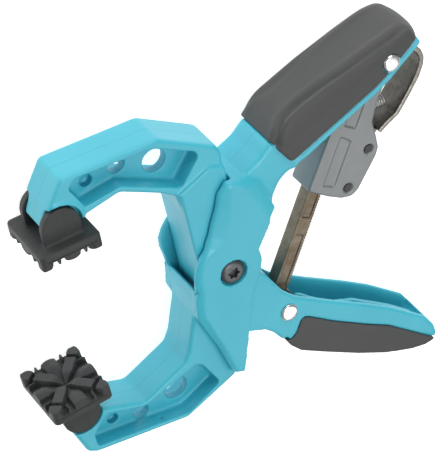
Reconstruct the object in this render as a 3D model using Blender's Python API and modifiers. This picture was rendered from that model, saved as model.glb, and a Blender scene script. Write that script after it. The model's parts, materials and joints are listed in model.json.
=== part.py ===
# Ratcheting hand clamp, modelled as separate solids.
#
# The clamp lies on its side: the plane the jaws swing in is X-Y and the
# thickness of the tool runs along Z.  All design numbers are millimetres in
# "clamp coordinates": u, v in the swing plane with the main pivot at (0, 0),
# w through the thickness with the mid-plane at 0.  The whole clamp is then
# set down so that its side rests on Z = 0 and its box is centred on X and Y.

import bpy
import bmesh
import math
from mathutils import Vector, Matrix

# ----------------------------------------------------------------- dimensions
MM = 0.001
PIVOT_X, PIVOT_Y, PIVOT_Z = -13.514, -13.621, 20.0   # main pivot in the row frame

JAW_W = 12.5            # half width of both jaws
WEB_W = 3.0             # half width of the jaw webs
SHANK_W = 14.0          # half width of the moving arm between the cheeks
CHEEK_IN = 14.5         # inner faces of the frame's cheeks
CHEEK_OUT = 19.0        # outer faces of the cheeks
TIP_W = 8.5             # half width of the jaw tips between the pad discs
DISC_OUT = 13.0         # outer face of the pad discs
DISC_R = 10.4           # radius of the pad discs
ARCH_R = 11.6           # radius of the arch cut into the jaw rims
PAD_W = 20.0            # half width of the pads
PAD_L = 33.0            # length of a pad along the jaw
PAD_RISE = 16.0         # gripping face above the swivel axis
PLATE_T = 3.4           # pad carrier plate
TREAD_T = 1.9           # continuous base of the tread
PIN_R = 2.0             # swivel pins

UP_KNUCKLE = (-98.4, 38.4)
UP_TILT = 19.2          # direction of the upper gripping face, degrees
LO_KNUCKLE = (-72.8, -74.7)
LO_TILT = 22.0

RIVET_A = (40.6, -32.6)  # lower handle rivet
RIVET_B = (75.0, 107.4)  # upper handle rivet
RIVET_HEAD_R = 4.9
RIVET_R = 2.5

BAR_ANGLE = 78.5        # direction of the toothed bar, degrees
BAR_T = 4.0             # half thickness of the bar through the clamp
BAR_H = 4.25            # half height of the bar in the swing plane
BAR_SET = 2.2           # bar centreline sits this far left of rivet A
BAR_TOP = 91.0          # top end of the bar above rivet A
TOOTH_PITCH = 1.6
TOOTH_DEPTH = 0.7

HOUSE_W = 9.0           # half width of the ratchet housing
HOUSE_IN = 4.4          # half width of its inner channel
LEVER_PIN = (75.8, 55.0)
PAWL_PIN = (67.4, 33.6)
LEVER_T = 2.8           # plate thickness of the release lever
LEVER_W = 8.9           # half width of the lever

HUB_R = 11.3            # arm hub radius around the main pivot
BOLT_R = 4.0            # pivot bolt shank
BUSH_R = 5.6            # pivot bush
HEAD_R = 7.0            # pivot bolt head


# --------------------------------------------------------------- collections
for ob in list(bpy.data.objects):
    bpy.data.objects.remove(ob, do_unlink=True)

PARTS = bpy.data.collections.new("ratchet_hand_clamp")
CUTTERS = bpy.data.collections.new("cutters")
bpy.context.scene.collection.children.link(PARTS)
bpy.context.scene.collection.children.link(CUTTERS)


def material(name, color, rough, metal=0.0):
    m = bpy.data.materials.new(name)
    m.use_nodes = True
    b = m.node_tree.nodes["Principled BSDF"]
    b.inputs["Base Color"].default_value = (*color, 1.0)
    b.inputs["Roughness"].default_value = rough
    b.inputs["Metallic"].default_value = metal
    m.diffuse_color = (*color, 1.0)
    return m


NYLON = material("cyan_nylon", (0.105, 0.48, 0.60), 0.42)
GRIP = material("dark_grip", (0.090, 0.094, 0.096), 0.62)
PADM = material("black_pad", (0.070, 0.072, 0.074), 0.55)
ZINC = material("zinc_housing", (0.33, 0.35, 0.36), 0.45, 0.2)
BARM = material("brown_steel", (0.19, 0.145, 0.10), 0.42, 0.8)
LEVM = material("lever_steel", (0.36, 0.34, 0.30), 0.35, 0.9)
CHROME = material("rivet_steel", (0.80, 0.80, 0.80), 0.16, 1.0)
BOLTM = material("bolt_steel", (0.14, 0.12, 0.13), 0.35, 0.7)
PINM = material("pin_steel", (0.10, 0.10, 0.105), 0.35, 0.8)
SPRINGM = material("spring_steel", (0.62, 0.62, 0.60), 0.25, 1.0)
BUSHM = material("bush_steel", (0.45, 0.45, 0.45), 0.35, 0.9)


# -------------------------------------------------------------------- helpers
def unit(deg):
    a = math.radians(deg)
    return Vector((math.cos(a), math.sin(a)))


def rounded(points, n=3):
    """Polygon with rounded corners: points are (u, v) or (u, v, radius)."""
    out = []
    k = len(points)
    for i, p in enumerate(points):
        if len(p) < 3 or p[2] <= 0:
            out.append((p[0], p[1]))
            continue
        c = Vector(p[:2])
        a = (Vector(points[i - 1][:2]) - c)
        b = (Vector(points[(i + 1) % k][:2]) - c)
        la, lb = a.length, b.length
        a.normalize()
        b.normalize()
        ang = math.acos(max(-1.0, min(1.0, a.dot(b))))
        cut = min(p[2] / math.tan(ang / 2), 0.48 * la, 0.48 * lb)
        r = cut * math.tan(ang / 2)
        mid = (a + b).normalized()
        centre = c + mid * (r / math.sin(ang / 2))
        p0, p1 = c + a * cut - centre, c + b * cut - centre
        a0 = math.atan2(p0.y, p0.x)
        a1 = math.atan2(p1.y, p1.x)
        d = (a1 - a0 + math.pi) % (2 * math.pi) - math.pi
        for j in range(n + 1):
            t = a0 + d * j / n
            out.append((centre.x + r * math.cos(t), centre.y + r * math.sin(t)))
    return out


def circle(cu, cv, r, n=24, a0=0.0):
    return [(cu + r * math.cos(a0 + 2 * math.pi * i / n),
             cv + r * math.sin(a0 + 2 * math.pi * i / n)) for i in range(n)]


def arc(cu, cv, r, d0, d1, n):
    return [(cu + r * math.cos(math.radians(d0 + (d1 - d0) * i / n)),
             cv + r * math.sin(math.radians(d0 + (d1 - d0) * i / n)))
            for i in range(n + 1)]


def link(ob, coll):
    coll.objects.link(ob)
    return ob


def to_mesh(curve_ob, name, coll):
    """Evaluated curve as a mesh object with its caps welded and tidy."""
    bpy.context.view_layer.update()
    deps = bpy.context.evaluated_depsgraph_get()
    me = bpy.data.meshes.new_from_object(curve_ob.evaluated_get(deps))
    bm = bmesh.new()
    bm.from_mesh(me)
    bmesh.ops.remove_doubles(bm, verts=bm.verts, dist=1e-6)
    bmesh.ops.dissolve_limit(bm, angle_limit=math.radians(0.2),
                             verts=bm.verts, edges=bm.edges)
    bmesh.ops.recalc_face_normals(bm, faces=bm.faces)
    bm.to_mesh(me)
    bm.free()
    ob = bpy.data.objects.new(name, me)
    ob.matrix_world = curve_ob.matrix_world.copy()
    data = curve_ob.data
    bpy.data.objects.remove(curve_ob, do_unlink=True)
    bpy.data.curves.remove(data)
    me.name = name
    return link(ob, coll)


def slab(name, points, w0, w1, coll=None):
    """Flat outline extruded from w0 to w1."""
    coll = coll or PARTS
    cu = bpy.data.curves.new(name + "_outline", "CURVE")
    cu.dimensions = "2D"
    cu.fill_mode = "BOTH"
    cu.extrude = (w1 - w0) / 2 * MM
    sp = cu.splines.new("POLY")
    sp.points.add(len(points) - 1)
    for q, p in zip(sp.points, points):
        q.co = (p[0] * MM, p[1] * MM, 0.0, 1.0)
    sp.use_cyclic_u = True
    ob = link(bpy.data.objects.new(name + "_outline", cu), coll)
    ob.location = (0.0, 0.0, (w0 + w1) / 2 * MM)
    ob = to_mesh(ob, name, coll)
    bake(ob)
    return ob


def bake(ob):
    """Move the object's transform into its mesh."""
    bpy.context.view_layer.update()
    ob.data.transform(ob.matrix_world)
    ob.matrix_world = Matrix.Identity(4)


def drum(name, cu, cv, w0, w1, r, n=24, coll=None, r2=None):
    """Round bar along w."""
    coll = coll or PARTS
    me = bpy.data.meshes.new(name)
    bm = bmesh.new()
    bmesh.ops.create_cone(bm, cap_ends=True, segments=n, radius1=r * MM,
                          radius2=(r if r2 is None else r2) * MM,
                          depth=(w1 - w0) * MM)
    bmesh.ops.translate(bm, verts=bm.verts,
                        vec=(cu * MM, cv * MM, (w0 + w1) / 2 * MM))
    bm.to_mesh(me)
    bm.free()
    return link(bpy.data.objects.new(name, me), coll)


def turned(name, cu, cv, profile, n=24, coll=None):
    """Profile of (radius, w) pairs turned about the w axis through (cu, cv)."""
    coll = coll or PARTS
    me = bpy.data.meshes.new(name)
    bm = bmesh.new()
    vs = [bm.verts.new((r * MM, 0.0, w * MM)) for r, w in profile]
    for a, b in zip(vs, vs[1:]):
        bm.edges.new((a, b))
    bm.to_mesh(me)
    bm.free()
    ob = link(bpy.data.objects.new(name, me), coll)
    sc = ob.modifiers.new("Screw", "SCREW")
    sc.axis = "Z"
    sc.angle = 2 * math.pi
    sc.steps = n
    sc.render_steps = n
    sc.use_merge_vertices = True
    sc.merge_threshold = 0.00001
    sc.use_normal_calculate = True
    ob = freeze(ob)
    ob.data.transform(Matrix.Translation((cu * MM, cv * MM, 0)))
    return ob


def loft(name, levels, coll=None):
    """Closed solid through outlines with the same number of points.
    levels are (w, outline) pairs."""
    coll = coll or PARTS
    me = bpy.data.meshes.new(name)
    bm = bmesh.new()
    rings = [[bm.verts.new((p[0] * MM, p[1] * MM, w * MM)) for p in line]
             for w, line in levels]
    n = len(rings[0])
    bm.faces.new(rings[0])
    bm.faces.new(rings[-1])
    for a, b in zip(rings, rings[1:]):
        for i in range(n):
            j = (i + 1) % n
            bm.faces.new((a[i], a[j], b[j], b[i]))
    bmesh.ops.recalc_face_normals(bm, faces=bm.faces)
    bmesh.ops.triangulate(bm, faces=bm.faces)
    bm.to_mesh(me)
    bm.free()
    return link(bpy.data.objects.new(name, me), coll)


def freeze(ob):
    """Apply every modifier of the object."""
    bpy.context.view_layer.update()
    deps = bpy.context.evaluated_depsgraph_get()
    me = bpy.data.meshes.new_from_object(ob.evaluated_get(deps))
    old = ob.data
    ob.modifiers.clear()
    ob.data = me
    bpy.data.meshes.remove(old)
    me.name = ob.name
    return ob


def chamfer(ob, width, segments=1, angle=40.0):
    m = ob.modifiers.new("Bevel", "BEVEL")
    m.width = width * MM
    m.segments = segments
    m.limit_method = "ANGLE"
    m.angle_limit = math.radians(angle)
    m.use_clamp_overlap = True
    return freeze(ob)


def tidy(ob):
    bm = bmesh.new()
    bm.from_mesh(ob.data)
    bmesh.ops.remove_doubles(bm, verts=bm.verts, dist=2e-6)
    bmesh.ops.dissolve_degenerate(bm, edges=bm.edges, dist=2e-6)
    bmesh.ops.dissolve_limit(bm, angle_limit=math.radians(0.3),
                             verts=bm.verts, edges=bm.edges)
    bmesh.ops.triangulate(bm, faces=bm.faces)
    bm.to_mesh(ob.data)
    bm.free()
    return ob


def combine(ob, others, operation):
    for o in others:
        for c in list(o.users_collection):
            c.objects.unlink(o)
        CUTTERS.objects.link(o)
        o.hide_render = True
        o.display_type = "WIRE"
        m = ob.modifiers.new(operation.title(), "BOOLEAN")
        m.operation = operation
        m.solver = "EXACT"
        m.object = o
    ob = freeze(ob)
    for o in others:
        o.hide_set(True)
    return tidy(ob)


def union(ob, *others):
    return combine(ob, others, "UNION")


def cut(ob, *others):
    return combine(ob, others, "DIFFERENCE")


def meet(ob, *others):
    return combine(ob, others, "INTERSECT")


def cslab(name, points, w0, w1):
    return slab(name, points, w0, w1, CUTTERS)


def cdrum(name, cu, cv, w0, w1, r, n=24, r2=None):
    return drum(name, cu, cv, w0, w1, r, n, CUTTERS, r2)


def along(origin, deg, pts):
    """Points given as (along, left) from an origin and a direction."""
    t = unit(deg)
    n = Vector((-t.y, t.x))
    return [(origin[0] + t.x * p[0] + n.x * p[1],
             origin[1] + t.y * p[0] + n.y * p[1], *p[2:]) for p in pts]


def finish(ob, mat, axis=(0.0, 0.0)):
    """Give the piece its material and put its origin on its joint's axis."""
    ob.data.materials.clear()
    ob.data.materials.append(mat)
    off = Vector((axis[0] * MM, axis[1] * MM, 0.0))
    ob.data.transform(Matrix.Translation(-off))
    ob.location = off
    ob.data.shade_smooth()
    ob.data.set_sharp_from_angle(angle=math.radians(32))
    return ob


# ---------------------------------------------------------- jaw pocket outlines
UP_POCKET = rounded([(-97.0, 58.5, 2), (-86.1, 47.4, 1.5), (-68.0, 56.2, 3),
                     (-33.4, 50.2, 2.2), (-31.0, 56.8, 3), (-27.0, 66.5, 3),
                     (-29.0, 69.7, 3), (-53.5, 74.7, 3), (-94.5, 64.0, 3)], 2)
LO_POCKET = rounded([(-63.6, -88.3, 2), (-60.6, -96.1, 2), (-9.1, -85.5, 2.5),
                     (6.2, -70.0, 2.5), (4.0, -67.0, 2), (-6.0, -57.3, 2.5),
                     (-9.3, -55.9, 2.5), (-36.2, -76.4, 2.5), (-58.6, -76.4, 1.5),
                     (-60.4, -80.5, 1.5)], 2)

# ================================================================ frame (root)
lower_jaw = slab("clamp_frame", rounded([
    (-66.0, -98.5, 3), (-60.5, -99.5, 3), (-9.2, -88.4, 4), (15.5, -66.3, 2),
    (15.0, -52.0), (-4.0, -30.0), (-15.6, -24.0), (-15.2, -47.5, 4),
    (-16.6, -54.5, 4), (-37.0, -74.0, 5), (-60.0, -73.4, 2),
    (-66.0, -72.0, 2), (-76.0, -73.5, 3), (-81.3, -78.8, 2)], 2),
    -JAW_W, JAW_W)
chamfer(lower_jaw, 1.0)

RIGHT_LOW = [(16.5, -62.0), (15.0, -35.0), (13.7, -15.0), (16.0, 0.0),
             (15.2, 7.0), (12.7, 12.0), (17.4, 28.0), (19.3, 34.5),
             (7.0, 50.5), (-2.0, 53.5)]
RIGHT_TOP = [(16.5, -61.0), (15.0, -35.0), (13.7, -15.0), (16.0, 0.0),
             (15.2, 7.0), (12.7, 12.0), (17.0, 26.8), (15.0, 30.0),
             (-1.0, 48.8), (-5.0, 51.5)]
# left edges: a shallow slope above, a rounded lobe beside the pivot below
near_low = RIGHT_LOW + [
    (-12.6, 53.0), (-16.2, 46.6), (-16.4, 39.6), (-17.3, 32.5), (-18.0, 22.0),
    (-18.2, 14.0), (-19.2, 11.0), (-20.4, 6.0), (-20.8, 0.5), (-20.2, -5.0),
    (-18.9, -10.0), (-17.9, -17.0), (-15.6, -26.0), (-0.7, -45.0), (10.8, -62.2)]
near_mid = RIGHT_LOW + [
    (-12.0, 53.0), (-14.6, 46.4), (-14.6, 39.6), (-15.2, 32.5), (-16.2, 22.6),
    (-17.6, 15.2), (-19.6, 11.8), (-21.2, 6.6), (-21.6, 0.6), (-20.8, -4.8),
    (-19.1, -10.0), (-17.9, -17.0), (-15.6, -26.0), (-0.7, -45.0), (10.8, -62.2)]
near_top = RIGHT_TOP + [
    (-9.4, 51.6), (-9.2, 45.0), (-7.8, 38.4), (-7.2, 31.0), (-8.6, 20.6),
    (-12.6, 15.2), (-16.8, 12.4), (-18.5, 7.0), (-18.4, 0.0), (-17.0, -5.4),
    (-15.4, -10.4), (-14.4, -17.0), (-12.4, -24.4), (2.0, -45.0), (11.6, -60.2)]
far_low = RIGHT_LOW + [
    (-12.6, 53.0), (-16.2, 46.6), (-16.4, 39.6), (-17.3, 32.5), (-18.4, 22.6),
    (-19.8, 18.0), (-21.8, 14.4), (-23.6, 9.4), (-23.8, 4.0), (-22.6, -1.4),
    (-19.8, -7.4), (-17.9, -15.0), (-16.6, -23.4), (-0.7, -45.0), (10.8, -62.2)]
far_mid = RIGHT_LOW + [
    (-12.0, 53.0), (-14.6, 46.4), (-14.6, 39.6), (-15.6, 32.5), (-17.6, 24.4),
    (-20.0, 19.2), (-22.7, 14.8), (-24.8, 9.6), (-25.0, 4.2), (-23.6, -1.0),
    (-20.2, -7.2), (-18.0, -15.0), (-16.6, -23.4), (-0.7, -45.0), (10.8, -62.2)]
far_top = RIGHT_TOP + [
    (-9.4, 51.6), (-9.6, 45.0), (-9.2, 38.4), (-9.8, 31.0), (-12.6, 22.4),
    (-16.4, 17.4), (-19.4, 13.4), (-21.2, 8.6), (-21.4, 3.6), (-20.2, -1.4),
    (-17.6, -7.0), (-15.6, -15.0), (-14.0, -23.4), (2.0, -45.0), (11.6, -60.2)]
cheeks = slab("cheek_core", RIGHT_LOW + [
    (-12.4, 53.0), (-16.0, 46.5), (-16.2, 39.5), (-17.1, 32.5), (-17.8, 22.0),
    (-18.7, 13.8), (-19.6, 8.0), (-19.8, 0.5), (-18.9, -6.0), (-17.7, -17.0),
    (-15.4, -26.0), (-0.7, -45.0), (10.8, -62.2)], -12.6, 12.6, CUTTERS)
cheek_near = loft("cheek_near", [(12.4, near_low), (17.2, near_mid),
                                 (CHEEK_OUT, near_top)], CUTTERS)
cheek_far = loft("cheek_far", [(-12.4, far_low), (-17.6, far_mid),
                               (-CHEEK_OUT, far_top)], CUTTERS)
NECK = rounded([
    (-8.0, 49.0), (-4.0, 51.6), (1.0, 55.8, 8), (7.0, 62.0, 8), (11.4, 69.4),
    (16.0, 69.6), (21.5, 77.0), (25.0, 77.0), (36.0, 66.0), (27.5, 54.5, 6), (21.5, 47.0, 8),
    (19.0, 38.0, 8), (19.0, 29.0), (15.0, 17.0), (2.0, 21.0)], 3)
neck = slab("neck", NECK, -15.2, 15.2, CUTTERS)
chamfer(neck, 2.6, 2)

# upper handle: a channel open towards the lower handle, recessed for its grip
HANDLE_RIM = [(26.0, 52.5), (50.0, 74.0), (60.0, 82.7), (70.0, 91.2),
              (77.0, 98.6), (83.0, 106.8), (88.2, 113.2), (90.6, 117.2)]
HANDLE_BACK = [(90.2, 120.6), (87.0, 124.0), (82.0, 124.8), (76.5, 122.8),
               (69.5, 118.9), (59.3, 112.3), (39.4, 97.7), (19.6, 81.4),
               (15.6, 76.4), (13.0, 68.6)]
HANDLE = HANDLE_RIM + HANDLE_BACK + [(18.0, 60.0)]
core_back = [(88.6, 119.6), (86.3, 122.0), (82.2, 122.8), (77.3, 120.8),
             (70.6, 117.2), (60.5, 110.6), (40.8, 96.1), (21.0, 80.0),
             (17.2, 75.6), (14.6, 69.0)]
core = slab("handle_core", HANDLE_RIM + core_back + [(18.6, 60.5)],
            -15.2, 15.2, CUTTERS)
rim_strip = slab("handle_rim", HANDLE_RIM + [
    (88.9, 119.0), (86.6, 115.6), (81.6, 109.6), (75.6, 101.4),
    (68.6, 94.0), (58.6, 85.4), (48.6, 76.7), (27.5, 57.6)],
    -16.2, 16.2, CUTTERS)
chamfer(rim_strip, 0.6)

clamp_frame = union(lower_jaw, cheeks, cheek_near, cheek_far, neck, core,
                    rim_strip)

frame_cuts = []
for s, tag in ((1, "near"), (-1, "far")):
    lo, hi = (WEB_W, 14.0) if s > 0 else (-14.0, -WEB_W)
    frame_cuts.append(cslab("lo_pocket_" + tag, LO_POCKET, lo, hi))
    lo, hi = (TIP_W, 16.0) if s > 0 else (-16.0, -TIP_W)
    frame_cuts.append(cdrum("lo_arch_" + tag, *LO_KNUCKLE, lo, hi, ARCH_R, 32))
for i, (u, v, r, w) in enumerate(((-48.9, -87.4, 3.0, -1.3), (-32.8, -85.8, 4.3, -6),
                                  (-14.2, -74.9, 6.4, -6))):
    frame_cuts.append(cdrum("lo_hole_%d" % i, u, v, w, 6, r, 20))
frame_cuts.append(cdrum("lo_pin_hole", *LO_KNUCKLE, -14, 14, PIN_R + 0.05, 20))
# slot between the cheeks for the moving arm
frame_cuts.append(cslab("arm_slot", [
    (-30.0, -10.3), (-17.2, -10.4), (-14.9, -12.8), (-9.0, -25.0), (6.0, -48.0), (13.0, -54.0),
    (40.0, -54.0), (40.0, 26.5), (14.0, 22.0), (6.0, 23.5), (-2.6, 38.0),
    (-7.2, 50.5), (-11.4, 66.0), (-40.0, 66.0)], -CHEEK_IN, CHEEK_IN))
frame_cuts.append(cdrum("bolt_hole", 0, 0, -22, 22, BOLT_R + 0.05, 24))
frame_cuts.append(cdrum("head_bore", 0, 0, 16.0, 22, HEAD_R + 0.5, 32))
frame_cuts.append(cdrum("nut_pocket", 0, 0, -22, -15.6, 7.7, 6))
# inside of the upper handle
CHANNEL = [(24.0, 45.0), (33.0, 60.6), (37.5, 70.0), (31.0, 77.0), (43.5, 93.5),
           (62.5, 107.4), (72.0, 113.6), (79.0, 117.4), (83.0, 117.6),
           (85.4, 115.0), (96.0, 122.0), (110.0, 110.0), (60.0, 60.0)]
frame_cuts.append(cslab("handle_channel", CHANNEL, -12.6, 12.6))
frame_cuts.append(cdrum("rivet_b_hole", *RIVET_B, -22, 22, RIVET_R + 0.05, 20))
frame_cuts.append(cdrum("rivet_b_seat_near", *RIVET_B, 15.3, 22, RIVET_HEAD_R + 0.3, 24))
frame_cuts.append(cdrum("rivet_b_seat_far", *RIVET_B, -22, -15.3, RIVET_HEAD_R + 0.3, 24))
cut(clamp_frame, *frame_cuts)
finish(clamp_frame, NYLON)

# grip moulded over the handle: back and both sides, leaving the rim bare
GRIP_OUT = rounded([
    (25.2, 58.0, 3), (48.6, 77.9), (58.4, 86.4), (68.2, 94.8), (74.8, 102.0),
    (80.8, 110.4), (85.6, 116.2), (88.2, 119.6), (90.2, 121.9),
    (89.6, 125.2, 3.5), (82.0, 126.9, 5), (75.2, 124.2), (68.4, 120.2),
    (58.4, 113.5), (38.6, 98.8), (18.8, 82.7, 3), (14.4, 77.0), (11.9, 70.1, 1)], 3)
upper_grip = slab("upper_grip", GRIP_OUT, -17.0, 17.0)
chamfer(upper_grip, 3.2, 3, 55)
grip_void = cslab("grip_void", [
    (88.9, 119.6), (86.5, 122.3), (82.2, 123.1), (77.1, 121.1),
    (70.4, 117.5), (60.3, 110.9), (40.6, 96.4), (20.8, 80.3),
    (16.9, 75.8), (14.3, 69.75), (2.0, 69.75), (2.0, 40.0), (60.0, 60.0),
    (110.0, 108.0), (96.0, 122.0)], -15.5, 15.5)
rim_void = cslab("rim_void", [
    (95.0, 120.3), (88.7, 119.6), (86.35, 115.9), (81.3, 109.8), (75.3, 101.6), (68.4, 94.3),
    (58.4, 85.7), (48.4, 77.0), (27.3, 57.9), (10.0, 40.0), (60.0, 40.0),
    (110.0, 100.0)], -18.0, 18.0)
# the rim strip only stands at the handle's sides, so the void is split
cut(upper_grip, grip_void, rim_void,
    cdrum("grip_rivet_hole", *RIVET_B, -22, 22, RIVET_HEAD_R + 0.3, 24))
finish(upper_grip, GRIP)


def torx(name, cu, cv, w0, w1, r_out, r_in, n=6):
    pts = []
    for i in range(n * 4):
        a = 2 * math.pi * i / (n * 4) + 0.35
        r = (r_out + r_in) / 2 + (r_out - r_in) / 2 * math.cos(n * a)
        pts.append((cu + r * math.cos(a), cv + r * math.sin(a)))
    return cslab(name, pts, w0, w1)


pivot_bolt = turned("pivot_bolt", 0, 0, [
    (0, 19.0), (3.2, 18.95), (5.4, 18.6), (6.6, 18.0), (HEAD_R, 17.2), (HEAD_R, 16.3),
    (BOLT_R - 0.2, 16.3), (BOLT_R - 0.2, -19.2), (3.2, -19.6), (0, -19.6)], 32)
cut(pivot_bolt, torx("torx_recess", 0, 0, 16.9, 21, 3.3, 2.3))
finish(pivot_bolt, BOLTM)

pivot_nut = drum("pivot_nut", 0, 0, -18.8, -15.9, 7.4, 6)
chamfer(pivot_nut, 0.4)
cut(pivot_nut, cdrum("nut_bore", 0, 0, -22, -12, BOLT_R + 0.05, 24))
finish(pivot_nut, BOLTM)


def rivet(name, at, half, head=RIVET_HEAD_R, r=RIVET_R, rise=1.3):
    prof = [(0, half + rise), (head * 0.45, half + rise * 0.92),
            (head * 0.78, half + rise * 0.62), (head * 0.96, half + rise * 0.25),
            (head, half), (head, half - 0.3), (r, half - 0.3)]
    full = prof + [(a, -b) for a, b in reversed(prof)]
    ob = turned(name, at[0], at[1], full, 24)
    return ob


upper_rivet = rivet("upper_rivet", RIVET_B, 15.8, rise=1.8)
finish(upper_rivet, CHROME, RIVET_B)

lower_pad_pin = drum("lower_pad_pin", *LO_KNUCKLE, -11.6, 11.6, PIN_R - 0.1, 16)
finish(lower_pad_pin, PINM, LO_KNUCKLE)


# =========================================================== moving arm
arm_jaw = slab("jaw_arm", rounded([
    (-102.3, 64.5, 2.5), (-106.5, 48.6, 3), (-107.6, 36.3, 1.5), (-98.9, 35.1, 2),
    (-96.8, 35.5), (-87.2, 40.9), (-85.0, 43.0), (-68.2, 52.6, 4),
    (-46.0, 48.7, 6), (-36.5, 45.8, 3), (-24.0, 24.0), (-10.0, 30.0),
    (-9.9, 52.7), (-12.2, 60.7), (-13.9, 67.0), (-17.2, 71.2, 3), (-51.3, 79.4, 4)], 3),
    -JAW_W, JAW_W)
chamfer(arm_jaw, 1.0)
front = HUB_R
shank = slab("arm_shank", [
    (-36.2, 46.2), (-34.7, 46.4), (-19.4, 7.4), (-11.6, -14.2), (-8.6, -17.6),
    (7.0, -34.0), (11.0, -40.3), (19.0, -40.6), (27.0, -41.2), (27.0, -11.5), (20.0, -6.3),
    (14.2, -1.0)] + arc(0, 0, 14.0, 2.0, 42.0, 4) + [
    (3.6, 21.5), (-4.2, 37.0), (-9.4, 52.0), (-11.6, 60.0), (-21.0, 60.0)],
    -SHANK_W, SHANK_W, CUTTERS)
chamfer(shank, 0.8)

LOW_TOP = [(20.0, -6.3), (24.5, -9.3), (35.0, -19.3), (39.5, -22.0), (44.0, -24.4),
           (66.0, -30.6), (90.0, -36.8), (106.0, -41.6), (129.0, -51.0),
           (135.6, -57.2), (138.4, -62.6)]
LOW_BOT = [(136.8, -66.8), (132.0, -69.2), (124.0, -70.3), (108.0, -70.0),
           (90.0, -67.2), (70.0, -62.8), (53.0, -58.8), (46.0, -54.6),
           (40.0, -49.4), (34.0, -44.3), (28.0, -41.4), (22.0, -40.7)]
low_handle = slab("lower_handle", LOW_TOP + LOW_BOT, -13.9, 13.9, CUTTERS)
chamfer(low_handle, 1.2, 2)
jaw_arm = union(arm_jaw, shank, low_handle)

GRIP_LINE = [(137.6, -64.6), (128.0, -61.0), (106.0, -52.0), (90.0, -48.4),
             (70.0, -43.0), (54.0, -37.6), (51.0, -37.2), (49.0, -39.0),
             (47.6, -46.0), (45.4, -49.3), (41.5, -50.3)]
arm_cuts = []
for s, tag in ((1, "near"), (-1, "far")):
    lo, hi = (WEB_W, 14.6) if s > 0 else (-14.6, -WEB_W)
    arm_cuts.append(cslab("up_pocket_" + tag, UP_POCKET, lo, hi))
    lo, hi = (TIP_W, 16.0) if s > 0 else (-16.0, -TIP_W)
    arm_cuts.append(cdrum("up_arch_" + tag, *UP_KNUCKLE, lo, hi, ARCH_R, 32))
    # step left for the grip on the handle's side
    lo, hi = (12.2, 15.0) if s > 0 else (-15.0, -12.2)
    arm_cuts.append(cslab("grip_step_" + tag, GRIP_LINE + [
        (36.0, -56.0), (60.0, -80.0), (150.0, -80.0), (150.0, -64.6)], lo, hi))
for i, (u, v, r, w) in enumerate(((-82.6, 56.2, 3.4, -1.3), (-67.1, 62.8, 4.6, -6),
                                  (-46.1, 62.2, 6.3, -6))):
    arm_cuts.append(cdrum("up_hole_%d" % i, u, v, w, 6, r, 20))
arm_cuts.append(cdrum("up_pin_hole", *UP_KNUCKLE, -14, 14, PIN_R + 0.05, 20))
# step under the handle for the grip
UNDER = [(136.2, -64.6), (131.4, -66.8), (124.0, -67.8), (108.2, -67.5), (90.3, -64.7),
         (70.4, -60.3), (53.8, -56.4), (47.2, -52.4), (42.2, -48.0)]
arm_cuts.append(cslab("grip_under", [(150.0, -64.6)] + UNDER + [
    (38.0, -50.0), (36.0, -56.0), (60.0, -80.0), (150.0, -80.0)], -16, 16))
# channel of the lower handle, open on top
arm_cuts.append(cslab("low_channel_top", [
    (27.5, 0.0), (27.9, -24.0), (30.8, -38.5), (36.0, -42.8), (44.0, -47.0), (53.5, -51.5),
    (70.0, -55.6), (90.0, -60.0), (108.0, -62.8), (124.0, -62.8), (129.0, -60.4),
    (131.5, -56.0), (131.0, -40.0), (70.0, 0.0)], 1.6, 10.7))
arm_cuts.append(cslab("low_channel_far", [
    (27.5, 0.0), (27.9, -24.0), (30.8, -38.5), (36.0, -42.8), (44.0, -47.0), (53.5, -51.5),
    (70.0, -55.6), (90.0, -60.0), (108.0, -62.8), (124.0, -62.8), (129.0, -60.4),
    (131.5, -56.0), (131.0, -40.0), (70.0, 0.0)], -10.7, -1.6))
# the rib between the two channels stands lower than the walls
arm_cuts.append(cslab("rib_top", [
    (27.4, 2.0), (27.8, -24.1), (30.7, -38.6), (35.9, -42.9), (43.9, -47.1), (50.6, -50.1),
    (51.4, -31.8), (53.6, -30.9), (59.0, -33.2), (66.0, -36.6), (78.0, -40.2),
    (88.7, -40.6), (113.4, -48.5),
    (128.0, -54.8), (131.0, -58.0), (131.0, -39.9), (70.0, 2.0)], -2.0, 2.0))
# room for the torsion spring and its bush in the hub
arm_cuts.append(cdrum("spring_room", 0, 0, -7.0, 7.0, 10.2, 28))
arm_cuts.append(cslab("spring_mouth", [
    (0.0, 0.0), (-20.0, -10.0), (-14.0, -22.0), (2.0, -26.0)], -7.0, 7.0))
arm_cuts.append(cdrum("bush_hole", 0, 0, -16, 16, BUSH_R + 0.05, 28))
arm_cuts.append(cdrum("rivet_a_hole", *RIVET_A, -16, 16, RIVET_R + 0.05, 20))
cut(jaw_arm, *arm_cuts)
finish(jaw_arm, NYLON)

# grip moulded under the lower handle
lower_grip = slab("lower_grip", rounded(
    [(137.4, -65.2), (128.0, -61.4), (106.0, -52.4), (90.0, -48.8),
     (70.0, -43.4), (54.0, -38.0, 2), (51.2, -37.6, 2), (49.4, -39.2, 1),
     (48.0, -46.2), (45.7, -49.7), (42.8, -50.8), (46.0, -54.3),
     (53.0, -58.5), (70.0, -62.6), (90.0, -67.0), (108.0, -69.8),
     (124.0, -70.1), (132.0, -69.0), (136.6, -66.8)], 2), -13.7, 13.7)
lower_grip_void = cslab("lower_grip_void", [(150.0, -64.95)] + [
    (a - 0.1, b - 0.35) for a, b in UNDER] + [
    (36.0, -46.0), (36.0, -40.0), (60.0, -20.0), (150.0, -40.0)], -12.5, 12.5)
cut(lower_grip, lower_grip_void)
finish(lower_grip, GRIP)

pivot_bush = drum("pivot_bush", 0, 0, -14.2, 14.2, BUSH_R - 0.25, 28)
cut(pivot_bush, cdrum("bush_bore", 0, 0, -16, 16, BOLT_R + 0.05, 24))
finish(pivot_bush, BUSHM)

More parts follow.
